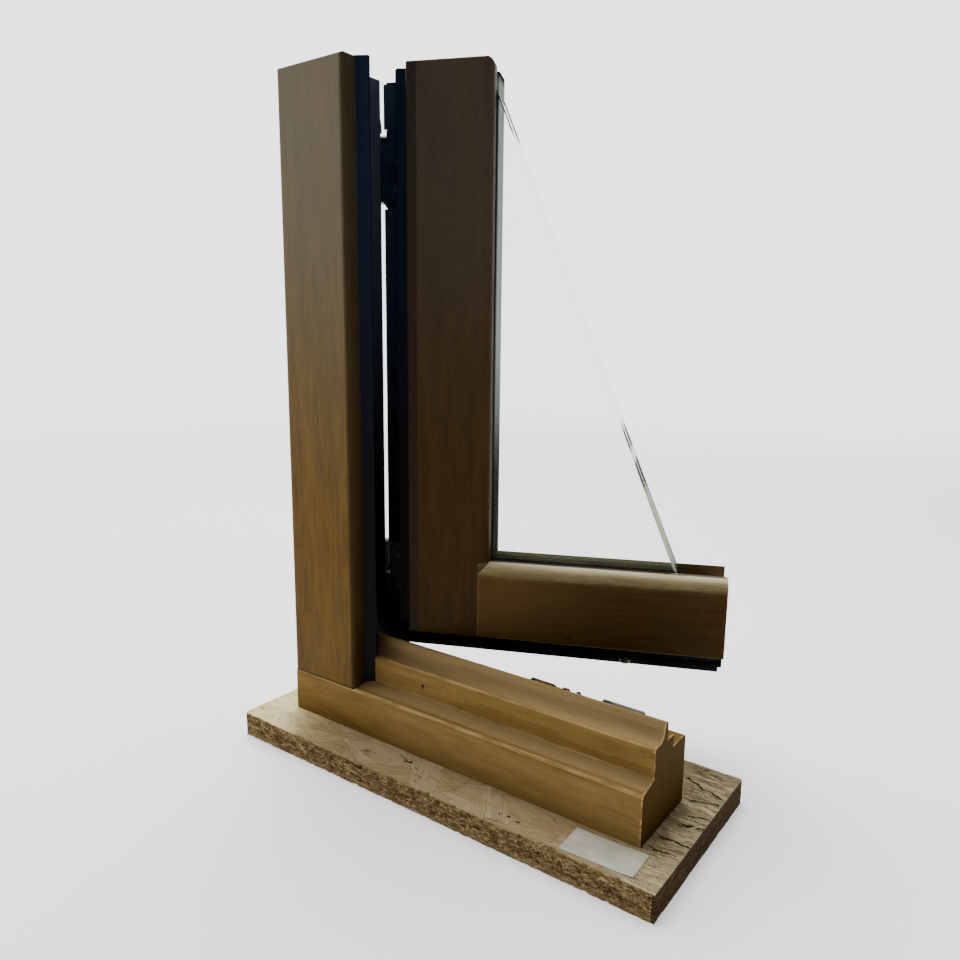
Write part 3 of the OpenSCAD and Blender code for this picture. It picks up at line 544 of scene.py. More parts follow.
# Painted highlight on the raised folds of the worn end.
colour = blend(rise(folds, 0.5, 0.64) * worn_end * 0.5, colour, srgb(202, 186, 144))
colour = blend(dark * 0.72, colour, srgb(70, 52, 32))
colour = blend(open_cracks * 0.92, colour, srgb(20, 14, 9))
dark = dark.math("MAXIMUM", open_cracks * 1.5)

# %% The board's sawn sides
CHIP_STOPS = [
    (0.0, srgb(82, 60, 35)),
    (0.22, srgb(122, 98, 60)),
    (0.45, srgb(150, 127, 84)),
    (0.62, srgb(180, 158, 110)),
    (0.72, srgb(126, 106, 70)),
    (1.0, srgb(98, 74, 44)),
]

shaken = at.node(
    "ShaderNodeVectorMath",
    {"operation": "MULTIPLY_ADD"},
    {0: grains(at, (4, 4, 4), 3.0, 0.65, out="Color"), 1: (4.0, 4.0, 3.2), 2: at},
)
cells = at.node("ShaderNodeVectorMath", {"operation": "DIVIDE"}, {0: shaken, 1: (2.3, 2.3, 1.0)})
chips = cell_value(cells)
rim = cell_edge(cells)
middle = rise(z, 1.5, 6.0) * rise(z, BOARD_T - 0.5, BOARD_T - 4.0)
torn_out = rise(grains(at, (9, 9, 3.4), 3.0, 0.65), 0.5, 0.64) * (middle * 0.75 + 0.25)
rough_side = chips.node("ShaderNodeValToRGB", {"stops": CHIP_STOPS}, {0: chips})
cells = at.node("ShaderNodeVectorMath", {"operation": "DIVIDE"}, {0: shaken, 1: (8, 8, 1.1)})
straw = cell_value(cells)
rough_side = blend((straw > 0.78) * 0.45, rough_side, srgb(178, 160, 118))
rough_side = blend((straw < 0.2) * 0.4, rough_side, srgb(78, 54, 32))
broad = grains(at, (34, 34, 12), 2.0)
rough_side = blend(rise(broad, 0.5, 0.75) * 0.35, rough_side, srgb(84, 64, 40))
pale_rim = rise(z, 6.5, 2.0).math("MAXIMUM", rise(z, 16.5, 19.0) * 0.7)
rough_side = blend(pale_rim * 0.45, rough_side, srgb(146, 130, 94))
rough_side = blend(rise(rim, 0.16, 0.03) * 0.4, rough_side, srgb(62, 44, 26))
rough_side = blend(torn_out * 0.4, rough_side, srgb(66, 44, 28))
specks = rise(grains(at, (1.5, 1.5, 1.0), 2.0, 0.6), 0.54, 0.62) * (middle * 0.8 + 0.15)
specks = specks * rise(grains(at, (14, 14, 6), 2.0), 0.36, 0.56)
speck_colour = blend(rise(chips, 0.4, 0.6), srgb(40, 26, 16), srgb(82, 42, 26))
rough_side = blend(specks * 0.85, rough_side, speck_colour)
layers = grains(at, (60, 60, 1.1), 2.0, 0.5)
# The smooth right side is darker than the front, partly as painted shade on a side turned from the light.
smooth_side = blend(rise(layers, 0.35, 0.65), srgb(27, 17, 4), srgb(50, 36, 12))
on_side = rise(z, BOARD_T - 0.25, BOARD_T - 1.0)
right = x > BOARD_L / 2 - 2.2
colour = blend(on_side, colour, blend(right * 0.85, rough_side, smooth_side))
relief = fibre * 0.5 - dark * 1.4 + folds * worn_end * 2.0
side_relief = chips * 0.7 - torn_out * 0.8 - specks * 0.7 - rise(rim, 0.2, 0.05) * 0.4
height = relief * (1 - on_side) + on_side * side_relief * (1 - right * 0.7)
feed(shader, {"Base Color": colour, "Roughness": 0.62 + fibre * 0.2}, height, 0.5)
print("strand layers:", len(LAYERS) + 1, "cracks:", len(CRACKS))

# %% [markdown]
# ## Rubber, metals, glass and paper
#
# The gaskets are extruded, so fine lines run along them. The hardware is dull zinc plate with
# darker blotches, the hinges are dark satin. Glass shows mostly at its cut edges, which look
# green because light has travelled far inside the pane.

# %% Plain finishes
def rubber(name, groove, crest):
    """Extruded rubber, black low down; higher up the two given tones are a painted sky reflection."""
    material, shader, at = start(name, room, {"Specular IOR Level": 0.09})
    z = split(at)[2]
    lines = grains(at, (1.1, 1.1, 160), 2.0)
    low_tone = blend(lines, srgb(3, 3, 3), srgb(7, 6, 6))
    # Pale specks low down: lint, and painted glints.
    lint_and_glints = rise(grains(at, (9, 9, 0.7), 3.0, 0.6), 0.66, 0.74)
    lint_and_glints = lint_and_glints * rise(grains(at, (22, 22, 22), 1.0), 0.45, 0.6)
    colour = blend(rise(z, *SKYLIT), low_tone, blend(lines, groove, crest))
    colour = blend(lint_and_glints * rise(z, 180, 90) * 0.4, colour, srgb(120, 122, 116))
    feed(shader, {"Base Color": colour, "Roughness": 0.42 + lines * 0.25}, lines, 0.1)
    return material


black_rubber = rubber("black_rubber", srgb(14, 22, 38), srgb(24, 34, 53))
# The lip seal is the same rubber, with a stronger painted reflection of the sky.
sky_lit_lip_rubber = rubber("sky_lit_lip_rubber", srgb(40, 51, 70), srgb(52, 64, 84))


def metal(name, space, dark, light, rough, spots, fixed):
    """A worn metal whose tone and gloss wander between two values."""
    material, shader, at = start(name, space, fixed)
    cloud = grains(at, (14, 14, 14), 4.0, 0.6)
    fine = grains(at, spots, 2.0)
    colour = blend(rise(cloud, 0.3, 0.7), dark, light)
    links = {"Base Color": colour, "Roughness": rough + cloud * 0.2 + fine * 0.12}
    feed(shader, links, fine, 0.06)
    return material


MATT = {"Metallic": 0.0, "Specular IOR Level": 0.2}
DUSTY = {"Metallic": 0.0, "Specular IOR Level": 0.04}
BRIGHT = {"Metallic": 1.0}
SATIN = {"Metallic": 0.2}
SHADED, GLIMMER = srgb(15, 18, 23), srgb(38, 42, 50)
hinge_steel = metal("hinge_steel", room, SHADED, GLIMMER, 0.26, (0.5, 0.5, 0.5), SATIN)
SCREW_DARK, SCREW = srgb(70, 70, 66), srgb(118, 117, 110)
screw_steel = metal("screw_steel", room, SCREW_DARK, SCREW, 0.25, (0.4, 0.4, 0.4), BRIGHT)
sealant = metal("sealant", sash_space, srgb(10, 10, 11), srgb(20, 20, 21), 0.5, (3, 3, 3), MATT)
PACKER_DARK, PACKER = srgb(20, 23, 28), srgb(32, 36, 42)
packer_plastic = metal("packer_plastic", sash_space, PACKER_DARK, PACKER, 0.45, (2, 2, 2), MATT)
CRUMB_DARK, CRUMB = srgb(96, 94, 82), srgb(170, 168, 152)
crumb_finish = metal("crumb_finish", sash_space, CRUMB_DARK, CRUMB, 0.4, (1, 1, 1), MATT)

# %% [markdown]
# ### Fittings with two tones
#
# The hinge leaves lie deep in the gap between sash and jamb, where the upper ones catch blue light
# from the sky. The drive rod's runner carries a painted glint, and dust has settled on one striker.
# Each second tone is a mask on the position in the piece's drawing, so no piece is cut for its finish.

# %% Hinge leaves, bluer where the gap lets in the sky
GAP_B = 62.0

leaf_steel, shader, at = start("leaf_steel", sash_space, SATIN)
_, b, z = split(at)
cloud = rise(grains(at, (14, 14, 14), 4.0, 0.6), 0.3, 0.7)
fine = grains(at, (0.5, 0.5, 0.5), 2.0)
colour = blend(cloud, SHADED, GLIMMER)
colour = blend(rise(z, 180, 420) * (b < GAP_B), colour, blend(cloud, srgb(20, 38, 62), srgb(42, 64, 92)))
feed(shader, {"Base Color": colour, "Roughness": 0.26 + cloud * 0.1 + fine * 0.12}, fine, 0.06)
print("leaves turn blue in front of mm:", GAP_B)

# %% Fittings of the sash, with a painted glint on the runner
RUNNER = (120.0, 168.0)
FACE_UNDER = 65.6

hardware_steel, shader, at = start("hardware_steel", sash_space, {})
a, _, z = split(at)
cloud = grains(at, (14, 14, 14), 4.0, 0.6)
fine = grains(at, (6, 0.4, 0.4), 2.0)
colour = blend(rise(cloud, 0.3, 0.7), srgb(44, 44, 40), srgb(84, 84, 77))
# Painted glint where the runner's edge catches the light: pale and less metallic.
runner = (z < FACE_UNDER) * (a > RUNNER[0]) * (a < RUNNER[1])
colour = blend(runner * 0.9, colour, srgb(196, 190, 166))
links = {"Base Color": colour, "Metallic": 1 - runner * 0.9, "Roughness": 0.3 + cloud * 0.2 + fine * 0.12}
feed(shader, links, fine, 0.06)
print("runner rubbed bright over mm:", RUNNER[1] - RUNNER[0])

# %% Strikers, the second one paler with dust
STRIKERS_PART = 250.0

striker_steel, shader, at = start("striker_steel", frame_space, DUSTY)
x = split(at)[0]
cloud = rise(grains(at, (9, 9, 9), 4.0, 0.6), 0.35, 0.65)
greasy = blend(cloud, srgb(36, 34, 29), srgb(72, 68, 58))
dusted = blend(cloud, srgb(64, 68, 60), srgb(134, 136, 122))
fine = grains(at, (2, 2, 2), 2.0)
links = {"Base Color": blend(x > STRIKERS_PART, greasy, dusted), "Roughness": 0.6 + cloud * 0.2}
feed(shader, links, fine, 0.06)
print("striker finish ready, it turns pale past mm:", STRIKERS_PART)

# %% [markdown]
# ### The glass unit
#
# The spacer is a dull bar whose upper part shows the sky. The panes are clear, apart from the
# ground edge where the unit is sawn on a slant: there Alpha lets the greenish finish show, more at
# the foot and the tip and hardly at all between them.

# %% Spacer bar
SPACER_TOP = 151.0

fixed = {"Metallic": 0.0, "Specular IOR Level": 0.0, "Roughness": 0.7}
spacer_metal, shader, at = start("spacer_metal", sash_space, fixed)
_, b, z = split(at)
cloud = grains(at, (30, 30, 30), 3.0)
colour = blend(rise(cloud, 0.3, 0.7), srgb(32, 32, 19), srgb(47, 46, 32))
colour = blend(rise(b, 28.0, 31.0) * 0.5, colour, srgb(74, 74, 46))
colour = blend(rise(z, SPACER_TOP + 1.0, SPACER_TOP + 9.0) * 0.6, colour, srgb(30, 28, 28))
colour = blend(rise(z, 200, 330) * rise(z, 514, 506) * 0.8, colour, srgb(170, 178, 172))
feed(shader, {"Base Color": colour})
print("spacer finish ready")

# %% Glass with green cut edges
GLASS_FOOT, GLASS_TIP, GLASS_SLOPE, GLASS_TOP = 142.3, 214.9, 2.42, 515.0

fixed = {"IOR": 1.5, "Roughness": 0.03, "Specular IOR Level": 0.2}
glass, shader, at = start("glass", sash_space, fixed)
a, _, z = split(at)
slant = a - GLASS_TIP + (z - GLASS_FOOT) * (1 / GLASS_SLOPE)
wide = rise(z, 330, 150) * 1.9 + rise(z, 462, 474) * 0.4 + 0.55
ground = (slant + wide > 0.0) + (z > GLASS_TOP - 0.5)
inner_line = rise((slant + wide).math("ABSOLUTE"), 0.4, 0.15)
lines = inner_line.math("MAXIMUM", slant > -0.35)
nicks = grains(at, (1.2, 1.2, 6.0), 3.0, 0.6)
ground_colour = blend(rise(nicks, 0.35, 0.65), srgb(84, 90, 72), srgb(150, 156, 132))
ground_colour = blend(rise(z, 206, 211), ground_colour, srgb(40, 44, 34))
ground_colour = blend(rise(z, 280, 420), ground_colour, srgb(26, 29, 31))
low_part = rise(z, 210, 202)
ground_colour = blend(low_part * 0.8, ground_colour, srgb(206, 216, 186))
ground_colour = blend(lines * (1 - low_part * 0.55), ground_colour, srgb(12, 15, 12))
faint = rise(z, 226, 230) * rise(z, 239, 235)
shown = rise(z, 262, 248) * (0.7 - faint * 0.5) + rise(z, 464, 476) * 0.85 + 0.08
clear_tone = srgb(236, 242, 238)
links = {"Base Color": blend(ground, clear_tone, ground_colour), "Alpha": ground * shown + 0.02}
feed(shader, links, nicks * ground, 0.3)

# %% Paper
paper, shader, at = start("paper", room, {"Specular IOR Level": 0.3})
fibres = grains(at, (1.6, 0.8, 0.8), 3.0)
cloud = grains(at, (16, 9, 9), 2.0)
colour = blend(rise(cloud, 0.3, 0.75), srgb(166, 166, 146), srgb(189, 189, 168))
feed(shader, {"Base Color": colour, "Roughness": 0.5 + fibres * 0.2}, fibres, 0.04)

# %% [markdown]
# ## Dressing the solids
#
# A solid from the frame keeps its mesh and its place. Only its material slots get a new finish.

# %% Dress the CAD nodes
FINISHES = {
    "frame_jamb": jamb_wood,
    "frame_sill": sill_wood,
    "frame_gasket": black_rubber,
    "striker_near": striker_steel,
    "striker_far": striker_steel,
    "hinge_plate_upper": hinge_steel,
    "hinge_pin_upper": hinge_steel,
    "hinge_bearing_lower": hinge_steel,
    "sash_stile": stile_wood,
    "sash_rail": rail_wood,
    "bead_stile": bead_upright_wood,
    "bead_rail": bead_level_wood,
    "pane_outer": glass,
    "pane_inner": glass,
    "spacer_bar": spacer_metal,
    "unit_sealant": sealant,
    "packer_near": packer_plastic,
    "packer_far": packer_plastic,
    "sash_gasket_stile": black_rubber,
    "sash_gasket_rail": black_rubber,
    "corner_drive": hardware_steel,
    "drive_rod_rail": hardware_steel,
    "hinge_leaf_upper": leaf_steel,
    "hinge_leaf_lower": leaf_steel,
    "base_board": board_finish,
    "label": paper,
}
for name, finish in FINISHES.items():
    for place in nodes[name].material_slots:
        place.material = finish
    if not nodes[name].material_slots:
        nodes[name].data.materials.append(finish)
print("nodes dressed:", len(FINISHES), "of", len(nodes))


# %% [markdown]
# ## Making a piece
#
# New pieces are drawn in millimetres in a bmesh, turned the right way out, carried into the room
# by one matrix and tied to the body that they ride on.

# %% Pour one bmesh into another
def pour(part, bm):
    """Empties a small bmesh into a larger one."""
    mesh = bpy.data.meshes.new("part")
    part.to_mesh(mesh)
    part.free()
    bm.from_mesh(mesh)
    bpy.data.meshes.remove(mesh)


# %% From bmesh to piece
def piece(name, bm, finish, body, space=room, sharp=35):
    """Makes a bmesh drawn in a drawing's millimetres into a piece that rides on a body."""
    bmesh.ops.recalc_face_normals(bm, faces=bm.faces)
    bmesh.ops.transform(bm, matrix=Matrix.Scale(MM, 4) @ space, verts=bm.verts)
    mesh = bpy.data.meshes.new(name)
    bm.to_mesh(mesh)
    bm.free()
    mesh.shade_smooth()
    mesh.set_sharp_from_angle(angle=math.radians(sharp))
    mesh.materials.append(finish)
    made = bpy.data.objects.new(name, mesh)
    bpy.context.scene.collection.objects.link(made)
    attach(made, body)
    print(f"{name}: {len(mesh.polygons)} faces on {body}")
    return made


# %% [markdown]
# ## The board's rough shape
#
# A saw leaves the strand board's front edge full of torn chips and holes. The board is one box cut
# into a fine net, and each point moves inwards by a depth that noise gives. It never moves
# outwards, so the board keeps its size.

# %% A net over a box
def netted_box(low, high, cuts):
    """A box whose faces are cut into a net with the given numbers of cuts along x, y and z."""
    bm = bmesh.new()
    centre = Matrix.Translation((Vector(low) + Vector(high)) / 2)
    size = Vector(high) - Vector(low)
    bmesh.ops.create_cube(bm, size=1.0, matrix=centre @ Matrix.Diagonal((*size, 1.0)))
    for axis, count in enumerate(cuts):
        edges = [e for e in bm.edges if abs((e.verts[0].co - e.verts[1].co)[axis]) > 1e-4]
        bmesh.ops.subdivide_edges(bm, edges=edges, cuts=count, use_grid_fill=True)
    return bm


# %% Board with torn edges
FOOTPRINT = ((-162.5, -45.0), (166.0, 26.0))
BOARD_CUTS = (430, 64, 20)
STRAND_STEP = 0.22
CORNER_CUT = 2.1213
ON_FACE = 1e-3


def chip_depth(place, scale, amount):
    """How far a torn face lies inside the box at a place: flat chips of random depth."""
    spot = Vector((place.x / scale[0], place.y / scale[1], place.z / scale[2]))
    near = noise.voronoi(spot)[1][0]
    chip = abs(noise.cell(near * 7.0))
    pit = max(0.0, noise.noise(place * 0.22) - 0.05)
    return amount * (0.75 * max(0.0, chip - 0.35) + 1.6 * pit * chip)


bm = netted_box((-BOARD_L / 2, -BOARD_D / 2, 0), (BOARD_L / 2, BOARD_D / 2, BOARD_T), BOARD_CUTS)
under = [f for f in bm.faces if f.calc_center_median().z < 1e-4]
bmesh.ops.dissolve_faces(bm, faces=under)
for vert in bm.verts:
    place = vert.co.copy()
    if place.y < -BOARD_D / 2 + ON_FACE:
        vert.co.y += chip_depth(place, (4.2, 9, 1.7), 1.5)
    if place.y > BOARD_D / 2 - ON_FACE:
        vert.co.y -= chip_depth(place, (4.2, 9, 1.7), 1.3)
    if place.x < -BOARD_L / 2 + ON_FACE:
        vert.co.x += chip_depth(place, (9, 3.2, 1.7), 1.0)
    if place.x > BOARD_L / 2 - ON_FACE:
        vert.co.x -= chip_depth(place, (9, 7, 2.2), 0.5)
    clear = place.x < FOOTPRINT[0][0] or place.x > FOOTPRINT[1][0]
    clear = clear or place.y < FOOTPRINT[0][1] or place.y > FOOTPRINT[1][1]
    if place.z > BOARD_T - ON_FACE and clear:
        step = noise.cell(noise.voronoi(Vector((place.x / 34, place.y / 11, 0.5)))[1][0] * 5.0)
        vert.co.z -= STRAND_STEP * abs(step)
for corner in (-1, 1):
    plane = Vector((-BOARD_L / 2 + CORNER_CUT, corner * BOARD_D / 2, 0))
    bmesh.ops.bisect_plane(
        bm,
        geom=bm.verts[:] + bm.edges[:] + bm.faces[:],
        plane_co=plane,
        plane_no=Vector((-1, corner, 0)),
        clear_outer=True,
    )
    rim = [e for e in bm.edges if e.is_boundary]
    bmesh.ops.holes_fill(bm, edges=rim, sides=0)
board = piece("rough_board", bm, board_finish, "frame", sharp=28)
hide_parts("base_board")

# %% [markdown]
# ## Loose strands
#
# Some strands on the real board's top stand a little proud, with ragged ends. Each one here is a
# thin grid with jittered ends and a thickness. It carries its own UV map, so that the grain runs
# along it, and the random draws are seeded, so that the board is the same each time.

# %% Strand finish
strand_finish, shader, at = start("strand_finish", room, {"Specular IOR Level": 0.25})
along = at.node("ShaderNodeUVMap", {"uv_map": "strand"})
fibre = grains(along, (14, 0.7, 1.0), 3.0, 0.65)
tone = grains(along, (400, 30, 1.0), 0.0)
colour = blend(rise(tone, 0.35, 0.65), srgb(132, 110, 74), srgb(172, 154, 118))
colour = blend(rise(fibre, 0.42, 0.7) * 0.4, colour, srgb(118, 96, 62))
x, y, z = split(at)
# Painted glare: the strands turn pale towards the board's left end.
colour = blend(rise(x, -100, -175) * 0.7, colour, srgb(206, 196, 172))
feed(shader, {"Base Color": colour, "Roughness": 0.6 + fibre * 0.2}, fibre, 0.2)

# %% Strands on the board
STRAND_COUNT = 60
STRAND_TURNS = (8, -26, 61, -7)
STRAND_MARGIN = 2
LABEL_SPOT, LABEL_SIZE, LABEL_TURN = Vector((147.25, -60.75)), Vector((51.0, 26.0)), 2.5
LABEL_CLEAR = Vector((27.0, 14.0))


def blocked(spot, reach_x, reach_y):
    """True where a strand of that reach would lie under the sill or the label or pass the edge."""
    half_l, half_d = BOARD_L / 2 - STRAND_MARGIN, BOARD_D / 2 - STRAND_MARGIN
    if abs(spot.x) > half_l - reach_x or abs(spot.y) > half_d - reach_y:
        return True
    low, high = FOOTPRINT
    if low[0] - reach_x < spot.x < high[0] + reach_x and low[1] - reach_y < spot.y < high[1] + reach_y:
        return True
    off = spot - LABEL_SPOT
    return abs(off.x) < LABEL_CLEAR.x + reach_x and abs(off.y) < LABEL_CLEAR.y + reach_y


def lay_strand(bm, draw, spot, turn, long, wide):
    """Adds one thin ragged strand at a spot on the board's top."""
    tool = bmesh.new()
    uv = tool.loops.layers.uv.new("strand")
    bmesh.ops.create_grid(tool, x_segments=7, y_segments=2, size=0.5)
    shift = draw.uniform(0, 4000)
    for vert in tool.verts:
        end = abs(vert.co.x) > 0.49
        vert.co.x = vert.co.x * long + (draw.uniform(-1.0, 1.0) * wide * 0.4 if end else 0.0)
        vert.co.y = vert.co.y * wide * (1.0 - 1.2 * vert.co.x * vert.co.x / long / long)
    for face in tool.faces:
        for loop in face.loops:
            loop[uv].uv = (loop.vert.co.x + shift, loop.vert.co.y + shift * 0.7)
    bmesh.ops.solidify(tool, geom=tool.faces[:], thickness=0.3)
    place = Matrix.Translation((spot.x, spot.y, BOARD_T + draw.uniform(-0.15, 0.0)))
    bmesh.ops.transform(tool, matrix=place @ Matrix.Rotation(turn, 4, "Z"), verts=tool.verts)
    pour(tool, bm)


draw = Random(11)
bm = bmesh.new()
laid = 0
while laid < STRAND_COUNT:
    spot = Vector((draw.uniform(-0.5, 0.5) * BOARD_L, draw.uniform(-0.5, 0.5) * BOARD_D))
    turn = math.radians(draw.choice(STRAND_TURNS) + draw.uniform(-9, 9))
    long, wide = draw.uniform(6, 18), draw.uniform(0.7, 2.2)
    along = (abs(math.cos(turn)), abs(math.sin(turn)))
    reach = [0.5 * (along[k] * (long + wide) + along[1 - k] * wide) for k in (0, 1)]
    if not blocked(spot, *reach):
        lay_strand(bm, draw, spot, turn, long, wide)
        laid += 1
piece("loose_strands", bm, strand_finish, "frame")

# %% [markdown]
# ## The label
#
# A bare paper sticker lies on the board. Paper never lies dead flat, so the sheet is a fine grid
# with a low swell and one lifted corner, given the thickness of paper.

# %% Label sheet
PAPER_T = 0.12

bm = bmesh.new()
bmesh.ops.create_grid(bm, x_segments=34, y_segments=17, size=0.5)
for vert in bm.verts:
    u, v = vert.co.x, vert.co.y
    curl = max(0.0, u - v - 0.72) ** 2 * 6.0
    swell = 0.5 + 0.5 * noise.noise(Vector((u * 5, v * 4, 2.0)))
    vert.co = Vector((u * LABEL_SIZE.x, v * LABEL_SIZE.y, 0.22 + 0.1 * swell + curl))
bmesh.ops.solidify(bm, geom=bm.faces[:], thickness=PAPER_T)
spot = Matrix.Translation((*LABEL_SPOT, BOARD_T)) @ Matrix.Rotation(math.radians(LABEL_TURN), 4, "Z")
label = piece("label_sheet", bm, paper, "frame", spot)
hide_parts("label")


# %% [markdown]
# ## Screws
#
# Plates on a window are held by flush screws with a star socket. One screw is a short cone whose
# top face is inset for the rim, pinched to a star and pressed in. Copies go where plates need them.

# %% One screw and its copies
SCREW_R = 3.3


def star_screw():
    """A flush screw head with a star socket. Its top is at z = 0.25 and faces up."""
    bm = bmesh.new()
    seat = Matrix.Translation((0, 0, -0.75))
    cone = {"radius1": SCREW_R * 0.5, "radius2": SCREW_R * 0.93, "depth": 2.0}
    bmesh.ops.create_cone(bm, cap_ends=True, segments=24, matrix=seat, **cone)
    top = max(bm.faces, key=lambda f: f.calc_center_median().z)
    bmesh.ops.inset_region(bm, faces=[top], thickness=SCREW_R * 0.15, depth=0.12)
    bmesh.ops.inset_region(bm, faces=[top], thickness=SCREW_R * 0.38, depth=-0.05)
    for number, vert in enumerate(top.verts):
        vert.co.xy *= 0.76 if number % 4 in (0, 1) else 1.1
    bmesh.ops.inset_region(bm, faces=[top], thickness=SCREW_R * 0.05, depth=-0.7)
    return bm


def set_screws(name, body, space, spots, facing):
    """Puts a screw head at each spot of a drawing, facing along a direction of that drawing."""
    bm = bmesh.new()
    turn = Vector(facing).to_track_quat("Z", "Y").to_matrix().to_4x4()
    for number, spot in enumerate(spots):
        one = star_screw()
        matrix = Matrix.Translation(spot) @ turn @ Matrix.Rotation(number * 1.1, 4, "Z")
        bmesh.ops.transform(one, matrix=matrix, verts=one.verts)
        pour(one, bm)
    piece(name, bm, screw_steel, body, space)


STRIKER_AT = (199.5, 262.0)
STRIKER_TOP, STRIKER_MID = 53.5, 53.0
PLATE_FACE, PLATE_MID = 71.0, 13.5
GROOVE_B, DRIVE_FACE, DRIVE_FOOT = 35.0, -14.0, 65.8
LEAF_FACE, LEAF_MID = 47.6, -23.0

striker_spots = [(x + step, STRIKER_MID, STRIKER_TOP) for x in STRIKER_AT for step in (7, 29)]
plate_spots = [(PLATE_MID, PLATE_FACE, z) for z in (24, 54, 416, 459, 502)]
rail_spots = [(a, GROOVE_B, DRIVE_FOOT) for a in (22, 96, 236)]
stile_spots = [(DRIVE_FACE, GROOVE_B, z) for z in (96, 162)]
leaf_spots = [(LEAF_MID, LEAF_FACE, z) for z in (76, 103, 130, 440, 458, 476)]
set_screws("screws_strikers", "frame", frame_space, striker_spots, (0, 0, 1))
set_screws("screws_hinge_plates", "frame", frame_space, plate_spots, (0, 1, 0))
set_screws("screws_drive_rail", "sash", sash_space, rail_spots, (0, 0, -1))
set_screws("screws_drive_stile", "sash", sash_space, stile_spots, (-1, 0, 0))
set_screws("screws_hinge_leaves", "sash", sash_space, leaf_spots, (0, -1, 0))


# %% [markdown]
# ## Sealant and lip seal
#
# A bead of sealant fills the corner between glass and wood on the outdoor side, and a black rubber
# lip lines the sash's overlap between its hinges. Both are small sections that are pushed along.

# %% Sections pushed along a line
def pushed(section, push):
    """A solid from a few corner points and one push. The points and the push are in millimetres."""
    bm = bmesh.new()
    face = bm.faces.new([bm.verts.new(point) for point in section])
    grown = bmesh.ops.extrude_face_region(bm, geom=[face])["geom"]
    moved = [item for item in grown if isinstance(item, bmesh.types.BMVert)]
    bmesh.ops.translate(bm, verts=moved, vec=Vector(push))
    return bm


def joined(parts):
    """One bmesh from several."""
    bm = bmesh.new()
    for part in parts:
        bmesh.ops.recalc_face_normals(part, faces=part.faces)
        pour(part, bm)
    return bm


# %% Sealant beads and lip seal
SEALANT = 1.0
OUT_B = 14.0

corner = (STILE_W, OUT_B, RAIL_TOP)
outer = (STILE_W, OUT_B - SEALANT, RAIL_TOP)
on_stile = (corner, outer, (STILE_W + SEALANT, OUT_B, RAIL_TOP))
on_rail = (corner, outer, (STILE_W, OUT_B, RAIL_TOP + SEALANT))
cut_z = GLASS_FOOT + (GLASS_TIP - (STILE_W + SEALANT)) * GLASS_SLOPE
beads = [pushed(on_stile, (0, 0, cut_z - RAIL_TOP)), pushed(on_rail, (GLASS_TIP - STILE_W, 0, 0))]
piece("glazing_sealant", joined(beads), sealant, "sash", sash_space)

LIP_SECTION = ((-23.0, 48.0), (-23.0, 47.3), (-31.5, 47.1), (-33.8, 47.7), (-33.6, 48.8), (-32.0, 48.2))
LIP_RUNS = ((51.5, 64.0), (141.6, 424.0), (485.6, FRAME_TOP - 1.5))
lips = [pushed([(a, b, low) for a, b in LIP_SECTION], (0, 0, high - low)) for low, high in LIP_RUNS]
piece("lip_seal", joined(lips), sky_lit_lip_rubber, "sash", sash_space)

# %% [markdown]
# ## Lips on the claws and splinters
#
# The claws that hold the locking cam have a worn lip on top. Between them the cutter has torn a few
# splinters out of the sill's ridge.

# %% Claw lips
CLAW_LENGTHS = (24.0, 36.0)
CLAW_Y, CLAW_TOP, LIP_H = (61.8, 64.7), 58.4, 1.5
lips = []
for start_x, long in zip(STRIKER_AT, CLAW_LENGTHS):
    low, high = start_x + 1.2, start_x + long - 1.2
    crown = CLAW_TOP + LIP_H
    outline = [(low, CLAW_TOP - 1.0), (high, CLAW_TOP - 1.0), (high, crown - 0.9)]
    outline += [(high - 1.6, crown - 0.3), (low + 4.0, crown), (low + 0.8, crown), (low, crown - 0.8)]
    lips.append(pushed([(x, CLAW_Y[0], z) for x, z in outline], (0, CLAW_Y[1] - CLAW_Y[0], 0)))
piece("claw_lips", joined(lips), striker_steel, "frame", frame_space)

# %% Splinters on the ridge
SPLINTERS = 22
RIDGE_TOP = 73.5
BARK, SPLIT_WOOD = srgb(54, 34, 20), srgb(128, 94, 60)
splinter_finish = metal("splinter_finish", frame_space, BARK, SPLIT_WOOD, 0.7, (2, 2, 2), DUSTY)
draw = Random(5)
parts = []
for _ in range(SPLINTERS):
    x, y = draw.uniform(222, 258), draw.uniform(34.8, 36.4)
    long, high = draw.uniform(1.4, 4.5), draw.uniform(0.3, 1.2)
    tip = x + draw.uniform(-0.1, 0.6) * long
    base = RIDGE_TOP - 0.6
    points = [(x, y, base), (x + long, y, base)]
    points += [(tip + 0.4 * long, y, RIDGE_TOP + high * 0.7), (tip, y, RIDGE_TOP + high)]
    parts.append(pushed(points, (0, draw.uniform(0.3, 0.8), 0)))
piece("ridge_splinters", joined(parts), splinter_finish, "frame", frame_space)

# %% [markdown]
# ## Crumbs at the tip of the glass
#
# Where the cut glass ends on the rail, a few crumbs of sealant and glass are left. Small balls are
# pushed out of round by noise and flattened onto the wood.

# %% Crumbs
CRUMBS = (
    (214.2, 10.5, 142.0, 1.5),
    (216.6, 9.0, 141.5, 1.0),
    (211.0, 11.2, 142.0, 0.9),
    (218.6, 12.0, 142.1, 0.8),
)
parts = []
for a, b, z, size in CRUMBS:
    ball = bmesh.new()
    bmesh.ops.create_icosphere(ball, subdivisions=3, radius=size)
    for vert in ball.verts:
        vert.co *= 1.0 + 0.45 * noise.noise(vert.co * 1.3 + Vector((a, b, z)))
        vert.co.z *= 0.6
    bmesh.ops.translate(ball, verts=ball.verts, vec=Vector((a, b, z)))
    parts.append(ball)
piece("glass_crumbs", joined(parts), crumb_finish, "sash", sash_space)

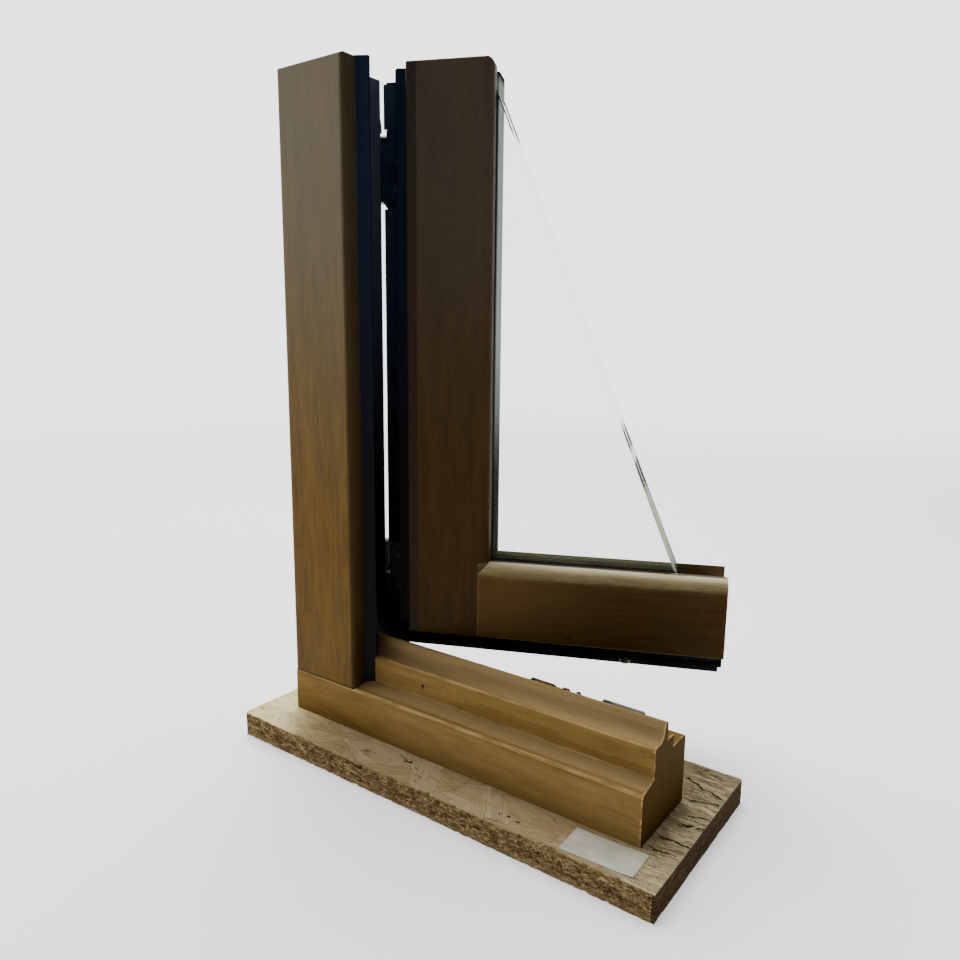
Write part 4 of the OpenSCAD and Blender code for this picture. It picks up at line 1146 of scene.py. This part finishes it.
# %% [markdown]
# ## Floor, light and camera
#
# The sample stands before a bright window: its left side and its top catch the light and the faces
# towards the camera stay dark. A sky that is brighter on one side does that softly.

# %% Floor
FLOOR_SIZE = 12.0
FADE_FROM, FADE_TO = 540.0, 3120.0

bm = bmesh.new()
bmesh.ops.create_circle(bm, cap_ends=True, segments=96, radius=FLOOR_SIZE / 2)
mesh = bpy.data.meshes.new("floor")
bm.to_mesh(mesh)
bm.free()
floor = bpy.data.objects.new("floor", mesh)
bpy.context.scene.collection.objects.link(floor)
fixed = {"Specular IOR Level": 0.1, "Roughness": 0.9, "Emission Strength": 0.6}
floor_finish, shader, at = start("floor_finish", room, fixed)
cloud = grains(at, (300, 300, 300), 2.0)
x, y, _ = split(at)
fade = rise((x * x + y * y).math("SQRT"), FADE_TO, FADE_FROM)
pale = blend(cloud, srgb(240, 240, 239), srgb(245, 245, 244))
feed(shader, {"Base Color": pale, "Emission Color": pale, "Alpha": fade})
mesh.materials.append(floor_finish)
floor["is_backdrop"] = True

# %% Sky
BRIGHT_SIDE = Vector((-0.75, 0.65, 0.15)).normalized()
BRIGHTER, DIMMEST = 2.7, 0.17

world = bpy.data.worlds.new("studio")
world.use_nodes = True
bpy.context.scene.world = world
tree = Wire(world.node_tree)
ray = tree.node("ShaderNodeTexCoord", out="Generated")
facing = ray.node("ShaderNodeVectorMath", {"operation": "DOT_PRODUCT"}, {0: ray, 1: BRIGHT_SIDE}, out="Value")
strength = rise(facing, 0.1, 0.8) * BRIGHTER + DIMMEST
sky = world.node_tree.nodes["Background"]
sky.inputs["Color"].default_value = (0.96, 0.98, 1.0, 1.0)
world.node_tree.links.new(strength.socket, sky.inputs["Strength"])


# %% Lamps
def softbox(name, place, target, size, power):
    """A square area lamp at a place in metres that faces a target."""
    light = bpy.data.lights.new(name, "AREA")
    light.size = size
    light.energy = power
    lamp = bpy.data.objects.new(name, light)
    lamp.location = place
    lamp.rotation_euler = (Vector(target) - Vector(place)).to_track_quat("-Z", "Y").to_euler()
    bpy.context.scene.collection.objects.link(lamp)


softbox("window", (-1.3, 0.9, 1.4), (0, 0, 0.2), 1.2, 16)
softbox("above", (-0.4, 0.3, 1.9), (0, 0, 0), 1.4, 38)
softbox("left", (-1.6, -1.0, 0.9), (0, 0, 0.25), 1.0, 11)

# %% Camera
LENS_MM, SENSOR_MM = 29.869, 36.0
CAMERA_AT = (350.85, -477.25, 344.80)
AZIMUTH, ELEVATION, ROLL = math.radians(36.12), math.radians(10.47), math.radians(0.56)

level = math.cos(ELEVATION)
forward = Vector((-math.sin(AZIMUTH) * level, math.cos(AZIMUTH) * level, -math.sin(ELEVATION)))
lens = bpy.data.cameras.new("camera")
lens.lens = LENS_MM
lens.sensor_width = SENSOR_MM
lens.clip_start = 0.02
camera = bpy.data.objects.new("camera", lens)
camera.location = Vector(CAMERA_AT) * MM
camera.rotation_mode = "QUATERNION"
camera.rotation_quaternion = forward.to_track_quat("-Z", "Y") @ Matrix.Rotation(ROLL, 3, "Z").to_quaternion()
bpy.context.scene.collection.objects.link(camera)
bpy.context.scene.camera = camera

# %% [markdown]
# ## Sizes
#
# The dressed sample has to keep the size of its solids, so its visual box is printed.

# %% Sizes and finish
low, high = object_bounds()
print("visual box in metres:", list(low), list(high))
